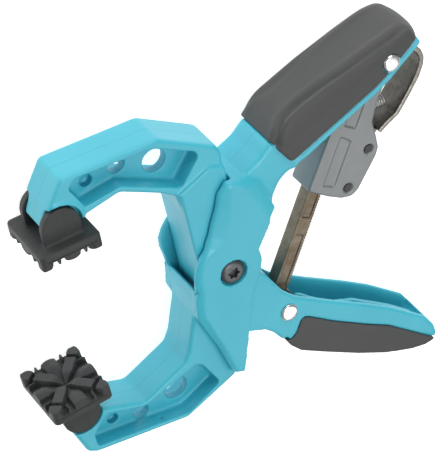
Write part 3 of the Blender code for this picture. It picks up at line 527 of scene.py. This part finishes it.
def bar_material():
    a = math.radians(78.5)
    m = Mat("brown_steel", rough=0.42, metal=0.75, spec=0.5)
    streak = m.noise(160.0, 4.0, 0.6, stretch=(-a, (0.12, 1.0, 1.0)))
    blotch = m.noise(240.0, 4.0, 0.62, distort=0.4)
    fine = m.noise(2600.0, 2.0, 0.6)
    col = m.ramp(streak, [(0.28, (0.125, 0.095, 0.066)), (0.52, (0.20, 0.162, 0.118)),
                          (0.75, (0.27, 0.23, 0.18))])
    col = m.mix(m.scale01(blotch, 0.50, 0.72, 0.0, 0.65), col, (0.20, 0.118, 0.062))
    col = m.mix(m.scale01(fine, 0.55, 0.85, 0.0, 0.30), col, (0.09, 0.07, 0.055))
    m.color(col)
    m.rough(m.scale01(blotch, 0.3, 0.8, 0.34, 0.56))
    m.bump(streak, 0.05, 0.3)
    m.bump(fine, 0.03, 0.4)
    return m.m


def lever_material():
    m = Mat("lever_steel", rough=0.36, metal=0.9, spec=0.5)
    blotch = m.noise(190.0, 5.0, 0.65, distort=0.6)
    fine = m.noise(1500.0, 3.0, 0.65)
    streak = m.noise(500.0, 2.0, 0.5, stretch=(0.0, (1.0, 1.0, 0.12)))
    # painted light: faces turned along w (the edge mask) get the lighter rim colour as a painted highlight, all
    # other faces the darker colour as painted shade, both over the steel's own blotches and streaks
    geo = m.node("ShaderNodeNewGeometry")
    sep = m.node("ShaderNodeSeparateXYZ")
    m.put(sep.inputs[0], geo.outputs["Normal"])
    edge = m.math("GREATER_THAN", m.math("ABSOLUTE", sep.outputs[2]), 0.55)
    shaded_side_col = m.ramp(blotch, [(0.30, (0.075, 0.070, 0.062)), (0.50, (0.135, 0.127, 0.112)),
                           (0.72, (0.20, 0.19, 0.17))])
    rim = m.ramp(streak, [(0.30, (0.22, 0.205, 0.175)), (0.70, (0.32, 0.30, 0.265))])
    col = m.mix(edge, shaded_side_col, rim)
    col = m.mix(m.scale01(fine, 0.55, 0.85, 0.0, 0.35), col, (0.10, 0.09, 0.075))
    m.color(col)
    m.rough(m.scale01(blotch, 0.3, 0.75, 0.30, 0.50))
    m.bump(fine, 0.03, 0.35)
    m.bump(streak, 0.02, 0.2)
    return m.m


def metal_material(name, base, dark, rough, metal=1.0, scale=900.0, depth=0.01, spec=0.5):
    m = Mat(name, rough=rough, metal=metal, spec=spec)
    fine = m.noise(scale, 3.0, 0.6)
    big = m.noise(120.0, 2.0, 0.5)
    col = m.mix(m.scale01(fine, 0.40, 0.80, 0.0, 0.5), tuple(base), tuple(dark))
    m.color(col)
    m.rough(m.scale01(big, 0.3, 0.7, rough * 0.85, rough * 1.2))
    m.bump(fine, depth, 0.4)
    return m.m


NYLON = nylon_material()
GRIP = grip_material()
PAD = pad_material()
ZINC = housing_material()
BAR = bar_material()
LEVER = lever_material()
CHROME = metal_material("rivet_steel", (0.86, 0.86, 0.84), (0.74, 0.73, 0.71), 0.26, depth=0.003)
BOLT = metal_material("bolt_steel", (0.130, 0.137, 0.142), (0.085, 0.089, 0.093), 0.46, 0.75, 1400.0, 0.02)
PIN = metal_material("pin_steel", (0.062, 0.062, 0.066), (0.035, 0.035, 0.038), 0.36, 0.85, 1400.0, 0.02)
SPRING = metal_material("spring_steel", (0.72, 0.72, 0.70), (0.56, 0.56, 0.54), 0.36, depth=0.003)
BUSH = metal_material("bush_steel", (0.42, 0.42, 0.41), (0.30, 0.30, 0.29), 0.34)
SLOT = {"cyan_nylon": NYLON, "dark_grip": GRIP, "black_pad": PAD, "zinc_housing": ZINC,
        "brown_steel": BAR, "lever_steel": LEVER, "rivet_steel": CHROME,
        "bolt_steel": BOLT, "pin_steel": PIN, "spring_steel": SPRING, "bush_steel": BUSH}
SLOT_OF = {s["node"]: s["material_slot"] for s in frame["record"]["subparts"]}
BODY_OF = {n: b for b, ns in frame["record"]["behaviour"]["bodies"].items() for n in ns}
for n, ob in NODES.items():
    ob.data.materials.clear()
    ob.data.materials.append(SLOT[SLOT_OF[n]])


def stand_in(piece, node, mat=None):
    """piece replaces a CAD node: same body, same material slot."""
    piece.data.materials.clear()
    piece.data.materials.append(mat or SLOT[SLOT_OF[node]])
    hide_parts(node)
    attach(piece, BODY_OF[node])
    return piece


# ------------------------------------------------------- the cyan mouldings
def rounded(points, n=4):
    """Outline whose corners (u, v, radius) are rounded."""
    out = []
    k = len(points)
    for i, p in enumerate(points):
        c = Vector(p[:2])
        if len(p) < 3 or p[2] <= 0:
            out.append((c.x, c.y))
            continue
        a = Vector(points[i - 1][:2]) - c
        b = Vector(points[(i + 1) % k][:2]) - c
        ang = a.angle(b)
        cut = min(p[2] / max(math.tan(ang / 2), 1e-3), 0.48 * a.length, 0.48 * b.length)
        p0, p1 = c + a.normalized() * cut, c + b.normalized() * cut
        for j in range(n + 1):
            t = j / n
            q = p0 * (1 - t) ** 2 + c * 2 * t * (1 - t) + p1 * t ** 2
            out.append((q.x, q.y))
    return out


def disc(name, u, v, r, w0, w1, n=40):
    return slab(name, [(u + r * math.cos(2 * math.pi * i / n),
                        v + r * math.sin(2 * math.pi * i / n)) for i in range(n)], w0, w1)


FINE = 0.60
body = copy_node("clamp_frame", "frame_moulding")
cuts = []
# line where the ledge between the cheeks ends
cuts.append(slab("ledge_line", [(-30.0, -11.9), (-30.0, -12.4), (-17.2, -12.5), (-17.2, -12.0)],
                 -14.0, 14.0))
boolean(body, cuts, "DIFFERENCE")
voxel(body, FINE)
relax(body, 3)
p = uvw(get_co(body.data))
# soften the facets of the cheeks, the neck and their folds
mask = 0.8 * inside(p[:, :2], [(-30, 60), (-30, 16), (-12, -24), (4, -24), (8, 20), (14, 32),
                               (30, 50), (10, 82)]).astype(float)
bolt = np.hypot(p[:, 0], p[:, 1])
mask *= step(bolt, 8.4, 12.0) * step(np.abs(p[:, 2]), 12.8, 14.4)
relax(body, 16, mask)
neck = inside(p[:, :2], [(2, 60), (12, 36), (30, 44), (34, 58), (14, 72), (4, 82)]).astype(float)
neck *= 1 - step(seg_dist(p[:, :2], [(6.0, 80.0), (14.0, 70.0), (27.0, 57.0)]), 0.5, 2.5) * 0.0
relax(body, 20, neck * step(seg_dist(p[:, :2], [(6.0, 82.0), (13.0, 70.2), (27.0, 57.0)]), 1.5, 4.0))
# softer fillet where the cheek's lower edge runs into the jaw
p = uvw(get_co(body.data))
d = seg_dist(p[:, :2], [(-11.0, -31.0), (0.0, -45.0), (10.0, -60.0)])
m2 = (1 - step(d, 3.0, 7.0)) * (np.abs(p[:, 2]) > 11.5) * step(-p[:, 1], 33.0, 44.0)
relax(body, 12, m2)
# rounded outer edges of the lower jaw
p = uvw(get_co(body.data))
d = seg_dist(p[:, :2], [(-15.4, -26.0), (-15.2, -47.5), (-16.6, -54.5), (-37.0, -74.0), (-60.0, -73.4)])
d = np.minimum(d, seg_dist(p[:, :2], [(-81.3, -78.8), (-66.0, -98.5), (-60.5, -99.5), (-9.2, -88.4),
                                      (15.5, -66.3)]))
relax(body, 5, (1 - step(d, 1.2, 3.0)) * step(np.abs(p[:, 2]), 9.0, 10.5))
# drip holes at the ends of the ledge's line, drain hole in the pocket's lower wall
co = get_co(body.data)
p = uvw(co)
nrm = normals(body.data)
for ends, r, depth in (([(-15.4, -13.9, 11.5), (-19.8, -9.2, 18.4)], 0.9, 1.7),
                       ([(-15.4, -13.9, -11.5), (-19.8, -9.2, -18.4)], 0.9, 1.7),
                       ([(-23.3, -88.4, 7.9), (-23.3, -88.4, 8.1)], 0.85, 1.8)):
    d = seg_dist(p, ends)
    co -= nrm * (depth * np.exp(-(d / r) ** 4) * MM)[:, None]
set_co(body.data, co)
shade(body)
stand_in(body, "clamp_frame")

arm = copy_node("jaw_arm", "arm_moulding")
# raised lip over the knuckle arch of the upper jaw
lips = []
for sg in (1, -1):
    w0, w1 = sorted((sg * 11.0, sg * 13.0))
    ring = []
    for k in range(25):
        a = math.radians(16 + 4.3 * k)
        ring.append((-98.4 + 13.4 * math.cos(a), 38.4 + 13.4 * math.sin(a)))
    for k in range(24, -1, -1):
        a = math.radians(16 + 4.3 * k)
        ring.append((-98.4 + 11.7 * math.cos(a), 38.4 + 11.7 * math.sin(a)))
    lips.append(slab("lip", ring, w0, w1))
lips.append(slab("mouth_skin", [(-14.5, -6.5), (-11.6, -14.2), (-10.0, -13.0), (-13.0, -5.5)],
                 -7.2, 7.2))
boolean(arm, lips, "UNION")
voxel(arm, FINE)
relax(arm, 3)
p = uvw(get_co(arm.data))
# wide rounding along the top edges and the tip of the lower handle
d = seg_dist(p[:, :2], [(20.0, -26.0), (36.0, -20.0), (44.0, -24.4), (90.0, -36.8), (129.0, -51.0)])
out = step(np.abs(p[:, 2]), 11.4, 12.2)
relax(arm, 9, (1 - step(d, 2.0, 5.0)) * out)
tip = step(p[:, 0], 128.0, 133.0)
relax(arm, 12, tip)
# wide bevel round the outside of the upper jaw
p = uvw(get_co(arm.data))
d = seg_dist(p[:, :2], [(-107.6, 36.3), (-106.5, 48.6), (-102.3, 64.5), (-53.0, 81.0), (-22.0, 74.0),
                        (-8.0, 58.0)])
relax(arm, 7, (1 - step(d, 1.4, 3.4)) * step(np.abs(p[:, 2]), 8.6, 10.2) * (p[:, 0] < -8))
# the rib between the two channels starts without a step
p = uvw(get_co(arm.data))
d = seg_dist(p[:, :2], [(46.0, -31.0), (53.0, -31.5), (60.0, -33.8)])
relax(arm, 16, (1 - step(d, 2.2, 4.2)) * (np.abs(p[:, 2]) < 4.5))
shade(arm)
stand_in(arm, "jaw_arm")

# --------------------------------------------------------------- the grips
grip = voxel(copy_node("upper_grip", "upper_grip_skin"), 0.62)
relax(grip, 3)
p = uvw(get_co(grip.data))
CA, SA = math.cos(math.radians(40.8)), math.sin(math.radians(40.8))
q = -SA * p[:, 0] + CA * p[:, 1]
along = CA * p[:, 0] + SA * p[:, 1]
outer = inside(p[:, :2], [(11.0, 70.2), (14.0, 76.8), (18.6, 84.0), (38.0, 100.5), (68.0, 122.0),
                          (82.0, 129.0), (93.0, 127.0), (92.0, 119.0), (84.0, 124.0), (76.0, 121.6),
                          (60.0, 111.6), (40.0, 97.0), (20.0, 81.0), (16.0, 76.0), (14.5, 70.2)])
side = np.abs(p[:, 2]) > 15.6
skin = (outer | side).astype(float)
mask = skin * step(q, 37.0, 42.0) * step(along, 56.5, 60.0)
co = get_co(grip.data)
pull = 3.4 * step(along, 128.0, 150.0) * np.clip(np.abs(p[:, 2]) / 17.0, 0, 1) ** 3
pull += 1.2 * step(q, 42.0, 36.0) * step(along, 140.0, 150.0)
co -= np.array([CA, SA, 0.0]) * (pull * MM)[:, None]
set_co(grip.data, co)
relax(grip, 46, mask)
relax(grip, 40, step(along, 134.0, 144.0) * step(q, 33.0, 37.0) * skin)
nrm = normals(grip.data)
co = get_co(grip.data)
co += nrm * (0.55 * MM * mask * step(np.abs(p[:, 2]), 9.0, 13.0))[:, None]
set_co(grip.data, co)
relax(grip, 4, mask)
GROOVE = spline([(14.0, 69.5, 17.0), (13.9, 73.9, 16.6), (14.6, 77.4, 15.2), (18.7, 82.6, 12.6),
                 (25.4, 88.2, 11.6), (35.8, 96.6, 12.6), (51.4, 108.3, 14.6), (66.1, 117.9, 15.6),
                 (74.3, 123.4, 15.2), (79.2, 125.8, 14.2)], 5)
nrm = normals(grip.data)
co = get_co(grip.data)
p = uvw(co)
for sg in (1, -1):
    line = [(a, b, sg * c) for a, b, c in GROOVE]
    d = seg_dist(p, line)
    fade = 1 - 0.75 * step(along, 136.0, 148.0)
    fade = fade * (1.45 if sg > 0 else 0.35)
    depth = fade * (1.5 * np.exp(-(d / 2.1) ** 2) - 0.25 * np.exp(-((d - 4.6) / 2.0) ** 2))
    co -= nrm * (depth * skin * MM)[:, None]
# small mould mark near the end of the back
d = np.linalg.norm(p - np.array([80.2, 126.6, 4.0]), axis=1)
co -= nrm * (0.5 * np.exp(-(d / 0.7) ** 2) * MM)[:, None]
set_co(grip.data, co)
relax(grip, 2)
shade(grip)
stand_in(grip, "upper_grip")

lgrip = voxel(copy_node("lower_grip", "lower_grip_skin"), 0.5)
relax(lgrip, 4)
p = uvw(get_co(lgrip.data))
under = step(-(p[:, 1] + 0.255 * p[:, 0]), 27.0, 32.0)
relax(lgrip, 8, under * 0.8)
shade(lgrip)
stand_in(lgrip, "lower_grip")

# ------------------------------------------------------- pads and treads
PAD_L, PAD_W, PAD_RISE = 33.0, 40.0, 16.0


def tread_height(x, z):
    """Height of the star tread above its base, millimetres, at pad x and z."""
    hx, hz = PAD_L / 2, PAD_W / 2
    h = np.zeros_like(x)
    full = 4.0
    diag = math.atan2(hz, hx)
    soft = 0.22
    for k in range(4):
        a = (diag, math.pi - diag, math.pi + diag, -diag)[k]
        r = x * math.cos(a) + z * math.sin(a)
        s = np.abs(-x * math.sin(a) + z * math.cos(a))
        half = np.minimum(3.0, 0.35 + 0.38 * np.maximum(r, 0))
        half = half + 0.5 * step(r, 18.0, 20.0)
        body_ = step(half - s, -soft, soft) * step(r, 0.2, 0.8)
        top = full * step(r, -1.5, 6.8)
        cut_ = step(np.abs(r - 17.6), 0.75, 1.05)
        h = np.maximum(h, top * body_ * cut_)
    for a, reach, fin in ((0.0, hx, 9.2), (math.pi, hx, 9.2),
                          (math.pi / 2, hz, 7.2), (-math.pi / 2, hz, 7.2)):
        r = x * math.cos(a) + z * math.sin(a)
        s = -x * math.sin(a) + z * math.cos(a)
        half = np.minimum(0.5 + 0.42 * np.maximum(r - 1.5, 0), 4.3)
        lobe = step(half - np.abs(s), -soft, 0.55) * step(r, 2.0, 3.2)
        crown = 1 - 0.42 * (s / 4.6) ** 2
        h = np.maximum(h, full * 0.95 * crown * step(r, 1.5, reach * 0.72) * lobe)
        for sg in (-1, 1):
            f = step(0.62 - np.abs(s - sg * fin), -0.15, 0.15)
            inn = step(r, reach - 6.5, reach - 3.5)
            h = np.maximum(h, full * 0.82 * f * inn)
    return h


def tread(name, node, knuckle, tilt, side):
    t0 = PAD_RISE - 5.0
    base = 1.0
    hx, hz, R = PAD_L / 2, PAD_W / 2, 2.6
    pitch = 0.30
    nx, nz = int(round(PAD_L / pitch)), int(round(PAD_W / pitch))
    gx = np.linspace(-hx, hx, nx + 1)
    gz = np.linspace(-hz, hz, nz + 1)
    X, Z = np.meshgrid(gx, gz, indexing="ij")
    X, Z = X.ravel(), Z.ravel()
    a = np.clip((np.abs(X) - (hx - R)) / R, 0, 1)
    b = np.clip((np.abs(Z) - (hz - R)) / R, 0, 1)
    X = np.sign(X) * (np.minimum(np.abs(X), hx - R) + R * a * np.sqrt(1 - b * b / 2))
    Z = np.sign(Z) * (np.minimum(np.abs(Z), hz - R) + R * b * np.sqrt(1 - a * a / 2))
    H = tread_height(X, Z)
    # rounded outer edge of the blocks
    edge = np.minimum(hx - np.abs(X), hz - np.abs(Z))
    H = H - 0.55 * (1 - step(edge, 0.0, 1.1)) * step(H, 0.4, 1.5)
    H = np.minimum(H, 4.0)
    t = math.radians(tilt)
    ex = np.array([math.cos(t), math.sin(t)])
    ey = np.array([-math.sin(t), math.cos(t)]) * side

    def place(x, y, z):
        uv = np.array(knuckle)[None, :] + x[:, None] * ex + y[:, None] * ey
        return xyz(np.column_stack([uv, z]))
    top = place(X, t0 + base + H, Z)
    # skirt and underside
    rim = ([i * (nz + 1) for i in range(nx + 1)]
           + [nx * (nz + 1) + j for j in range(1, nz + 1)]
           + [i * (nz + 1) + nz for i in range(nx - 1, -1, -1)]
           + [j for j in range(nz - 1, 0, -1)])
    low = place(X[rim], np.full(len(rim), t0 + 0.02), Z[rim])
    mid = place(X[rim] * 1.0, np.full(len(rim), t0 + base * 0.5), Z[rim])
    verts = np.vstack([top, mid, low])
    faces = []
    for i in range(nx):
        for j in range(nz):
            q = i * (nz + 1) + j
            faces.append((q, q + 1, q + nz + 2, q + nz + 1))
    n0, n1 = len(top), len(top) + len(rim)
    k = len(rim)
    for i in range(k):
        j = (i + 1) % k
        faces.append((rim[i], rim[j], n0 + j, n0 + i))
        faces.append((n0 + i, n0 + j, n1 + j, n1 + i))
    faces.append(tuple(range(n1, n1 + k)))
    me = bpy.data.meshes.new(name)
    me.from_pydata([tuple(v) for v in verts], [], faces)
    bm = bmesh.new()
    bm.from_mesh(me)
    bmesh.ops.recalc_face_normals(bm, faces=bm.faces)
    bm.to_mesh(me)
    bm.free()
    ob = shade(new_object(name, me), 50)
    return stand_in(ob, node)


UK = Vector(JOINTS["upper_pad_swivel"]["pos_m"])
LK = Vector(JOINTS["lower_pad_swivel"]["pos_m"])
UK = ((UK.x - PIVOT.x) / MM, (UK.y - PIVOT.y) / MM)
LK = ((LK.x - PIVOT.x) / MM, (LK.y - PIVOT.y) / MM)
tread("upper_tread_star", "upper_pad_tread", UK, 19.2, -1)
tread("lower_tread_star", "lower_pad_tread", LK, 22.0, 1)


def carrier(name, node, knuckle, tilt, side):
    """Backing plate with rounded corners and the two knuckle discs."""
    lo_y, hi_y = PAD_RISE - 8.4, PAD_RISE - 5.0
    hx, hz = PAD_L / 2, PAD_W / 2
    t = math.radians(tilt)
    ex = np.array([math.cos(t), math.sin(t)])
    ey = np.array([-math.sin(t), math.cos(t)]) * side

    def ring(inset, y):
        r = max(2.6 - inset, 0.5)
        pts = []
        for cx, cz, a0 in ((1, 1, 0), (-1, 1, 90), (-1, -1, 180), (1, -1, 270)):
            for k in range(7):
                a = math.radians(a0 + 15 * k)
                x = cx * (hx - inset - r) + r * math.cos(a)
                z = cz * (hz - inset - r) + r * math.sin(a)
                uv = np.array(knuckle) + x * ex + y * ey
                pts.append(W(uv[0], uv[1], z))
        return pts
    me = bpy.data.meshes.new(name)
    bm = bmesh.new()
    rings = [[bm.verts.new(q) for q in ring(i, y)] for i, y in (
        (1.5, lo_y), (0.75, lo_y + 0.07), (0.30, lo_y + 0.32), (0.05, lo_y + 0.8), (0.0, lo_y + 1.3),
        (0.0, hi_y + 0.35))]
    n = len(rings[0])
    bm.faces.new(rings[0])
    bm.faces.new(rings[-1])
    for a, b in zip(rings, rings[1:]):
        for i in range(n):
            j = (i + 1) % n
            bm.faces.new((a[i], a[j], b[j], b[i]))
    bmesh.ops.recalc_face_normals(bm, faces=bm.faces)
    bm.to_mesh(me)
    bm.free()
    plate = new_object(name, me)
    shell = copy_node(node, name + "_discs")
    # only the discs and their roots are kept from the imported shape
    far = [(-60.0, lo_y + 0.6), (60.0, lo_y + 0.6), (60.0, 60.0), (-60.0, 60.0)]
    pts = [tuple(np.array(knuckle) + x * ex + y * ey) for x, y in far]
    boolean(shell, [slab("cut", pts, -30, 30)], "DIFFERENCE")
    voxel(shell, 0.40)
    relax(shell, 5)
    p = uvw(get_co(shell.data))
    # shallow seam across the disc, where the two mould halves met
    loc = p[:, :2] - np.array(knuckle)
    lx, ly = loc @ ex, loc @ ey
    nrm_ = normals(shell.data)
    c_ = get_co(shell.data)
    seam = np.exp(-((lx - 1.5) / 0.45) ** 2) * (np.abs(p[:, 2]) > 12.4)
    edge_ = np.exp(-((np.hypot(lx, ly) - 9.2) / 0.35) ** 2) * (np.abs(p[:, 2]) > 12.4)
    c_ -= nrm_ * ((0.16 * seam + 0.12 * edge_) * MM)[:, None]
    set_co(shell.data, c_)
    boolean(plate, [shell], "UNION")
    shade(plate, 42)
    return stand_in(plate, node)


carrier("upper_carrier_skin", "upper_pad_carrier", UK, 19.2, -1)
carrier("lower_carrier_skin", "lower_pad_carrier", LK, 22.0, 1)

# ------------------------------------------------ ratchet housing and bar
house = voxel(copy_node("ratchet_housing", "housing_casting"), 0.36)
relax(house, 3)
shade(house)
stand_in(house, "ratchet_housing")

# the toothed bar, filled out, with shallow windows recessed into both faces
lo_bar, hi_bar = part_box("ratchet_bar")
BD = Vector((math.cos(math.radians(78.5)), math.sin(math.radians(78.5))))
BN = Vector((-BD.y, BD.x))
BO = Vector((40.6, -32.6)) + BN * 2.2


def on_bar(pts):
    return [tuple(BO + BD * a + BN * b) for a, b in pts]


bar = copy_node("ratchet_bar", "bar_milled")
boolean(bar, [slab("fill", on_bar([(8.0, -2.6), (81.0, -2.6), (81.0, 2.75), (8.0, 2.75)]), -3.95, 3.95)],
        "UNION")
windows = []
for a0_, a1_ in ((8.5, 39.5), (49.5, 80.5)):
    for sg in (1, -1):
        w0, w1 = sorted((sg * 3.2, sg * 6.0))
        windows.append(slab("window", on_bar(
            [(a0_, -2.3), (a1_, -2.3), (a1_, 2.6), (a0_, 2.6)]), w0, w1))
boolean(bar, windows, "DIFFERENCE")
voxel(bar, 0.26)
relax(bar, 2)
shade(bar)
stand_in(bar, "ratchet_bar")

# the release lever: one pressed strip with rolled edges
lev = voxel(copy_node("release_lever", "lever_pressed"), 0.34)
relax(lev, 6)
p = uvw(get_co(lev.data))
d = seg_dist(p[:, :2], [(84.4, 66.7), (87.6, 69.9), (90.5, 72.6), (92.4, 76.8), (96.0, 85.3)])
relax(lev, 14, 1 - step(d, 3.0, 6.0))
shade(lev)
stand_in(lev, "release_lever")

# the lever's spring at the length it has with the lever pressed in, so that the lever clears it
coil = copy_node("lever_spring", "lever_coil")
co = get_co(coil.data)
p = uvw(co)
ax = Vector((10.3, 2.6)).normalized()
s = (p[:, 0] - 77.9) * ax.x + (p[:, 1] - 76.6) * ax.y
co[:, 0] -= 0.30 * s * ax.x * MM
co[:, 1] -= 0.30 * s * ax.y * MM
set_co(coil.data, co)
shade(coil)
stand_in(coil, "lever_spring")

# -------------------------------------------------- rivets, bolt and pins
RA = (40.6, -32.6)
RB = (75.0, 107.4)


def rivet(name, node, at, half, head=4.9, rise=1.3, shank=2.5):
    prof = arcs([(0.0, half + rise), (head * 0.55, half + rise * 0.97),
                 (head * 0.86, half + rise * 0.78, 0.5), (head, half + rise * 0.25, 0.3),
                 (head, half, 0.1), (shank, half), (shank, -half), (head, -half, 0.1),
                 (head, -half - rise * 0.25, 0.3), (head * 0.86, -half - rise * 0.78, 0.5),
                 (head * 0.55, -half - rise * 0.97), (0.0, -half - rise)], 4)
    ob = lathe(name, at[0], at[1], prof, 72)
    shade(ob, 55)
    return stand_in(ob, node)


def box_half(node):
    lo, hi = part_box(node)
    return (hi.z - lo.z) / 2 / MM


RISE_B, RISE_A = 1.8, 1.3
rivet("upper_rivet_turned", "upper_rivet", RB, box_half("upper_rivet") - RISE_B, rise=RISE_B)
rivet("lower_rivet_turned", "lower_rivet", RA, box_half("lower_rivet") - RISE_A, rise=RISE_A)


def star(name, r_out, r_in, w0, w1, lobes=6, turn=8.0):
    pts = []
    for i in range(96):
        a = 2 * math.pi * i / 96
        k = 0.5 + 0.5 * math.cos(lobes * a)
        r = r_in + (r_out - r_in) * k ** 0.8
        b = a + math.radians(turn)
        pts.append((r * math.cos(b), r * math.sin(b)))
    return slab(name, pts, w0, w1)


lo_b, hi_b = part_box("pivot_bolt")
top_w = (hi_b.z - PIVOT.z) / MM
bot_w = (lo_b.z - PIVOT.z) / MM
bolt = lathe("pivot_bolt_turned", 0, 0, arcs([
    (0.0, top_w - 0.15), (3.9, top_w - 0.15), (5.3, top_w - 0.35, 0.5), (6.75, top_w - 1.35, 0.6),
    (6.85, 16.35, 0.2), (3.95, 16.3), (3.95, bot_w + 0.3, 0.2), (3.6, bot_w), (0.0, bot_w)], 4), 96)
boolean(bolt, [star("drive", 3.4, 2.35, top_w - 2.6, top_w + 2)], "DIFFERENCE")
shade(bolt, 30)
stand_in(bolt, "pivot_bolt")

# ------------------------------------------------------------ floor, light
floor_me = bpy.data.meshes.new("floor")
floor_me.from_pydata([(-3, -3, 0), (3, -3, 0), (3, 3, 0), (-3, 3, 0)], [], [(0, 1, 2, 3)])
floor = new_object("floor", floor_me)
floor.location.z = -0.0006
fm = bpy.data.materials.new("floor_white")
fm.use_nodes = True
fb = fm.node_tree.nodes["Principled BSDF"]
fb.inputs["Base Color"].default_value = (0.60, 0.60, 0.60, 1)
fb.inputs["Roughness"].default_value = 0.9
fb.inputs["Specular IOR Level"].default_value = 0.1
fb.inputs["Emission Color"].default_value = (1, 1, 1, 1)
fb.inputs["Emission Strength"].default_value = 0.86
floor.data.materials.append(fm)

world = bpy.data.worlds.new("studio")
scene.world = world
world.use_nodes = True
bg = world.node_tree.nodes["Background"]
bg.inputs[0].default_value = (1.0, 1.0, 1.0, 1)
bg.inputs[1].default_value = 0.28


def area(name, loc, target, size, power, color=(1, 1, 1), size_y=None):
    d = bpy.data.lights.new(name, "AREA")
    d.energy = power
    d.color = color
    d.shape = "RECTANGLE"
    d.size = size
    d.size_y = size_y or size
    ob = bpy.data.objects.new(name, d)
    scene.collection.objects.link(ob)
    ob.location = loc
    ob.rotation_euler = (Vector(target) - Vector(loc)).to_track_quat("-Z", "Y").to_euler()
    return ob


area("front", (0.66, -0.66, 1.10), (0, 0, 0.02), 0.95, 3.8)
area("over", (-0.05, 0.05, 1.5), (0, 0, 0.02), 0.6, 9.0)
area("top", (-0.12, 1.32, 0.52), (0, 0, 0.02), 0.7, 6.8)
area("left", (-1.35, 0.05, 0.30), (0, 0, 0.02), 0.7, 1.3)

# ------------------------------------------------------------------ camera
th, ps = math.radians(43.0), math.radians(-45.0)
N = np.array([math.sin(th) * math.cos(ps), math.sin(th) * math.sin(ps), math.cos(th)])
kk = 1 / (1 + N[2])
ez = np.array([0, 0, 1.0])
U = np.array([1.0, 0, 0]) - N[0] * kk * (ez + N)
V = np.array([0, 1.0, 0]) - N[1] * kk * (ez + N)
M = np.stack([U, V, N], 1)          # object millimetres to camera millimetres
FOCAL, DIST = 3000.0, 1500.0        # focal length in image heights of 470, distance in mm
near_pivot = np.array([(234.2 - 223.5) / FOCAL * DIST, -(273.5 - 235.0) / FOCAL * DIST, 0.0])
shift = near_pivot - M @ np.array([0, 0, 19.0])
pos = M.T @ (np.array([0, 0, DIST]) - shift)
cam = bpy.data.cameras.new("camera")
cam_ob = bpy.data.objects.new("camera", cam)
scene.collection.objects.link(cam_ob)
R = Matrix(M.T.tolist())
cam_ob.matrix_world = Matrix.Translation(W(*pos)) @ R.to_4x4()
cam.sensor_fit = "AUTO"
cam.sensor_width = 36.0
cam.lens = FOCAL * 36.0 / 470.0
cam.clip_start = 0.01
cam.clip_end = 20.0
scene.camera = cam_ob

scene.view_settings.view_transform = "Standard"
scene.view_settings.look = "None"
scene.view_settings.exposure = 0.0
scene.view_settings.gamma = 1.0
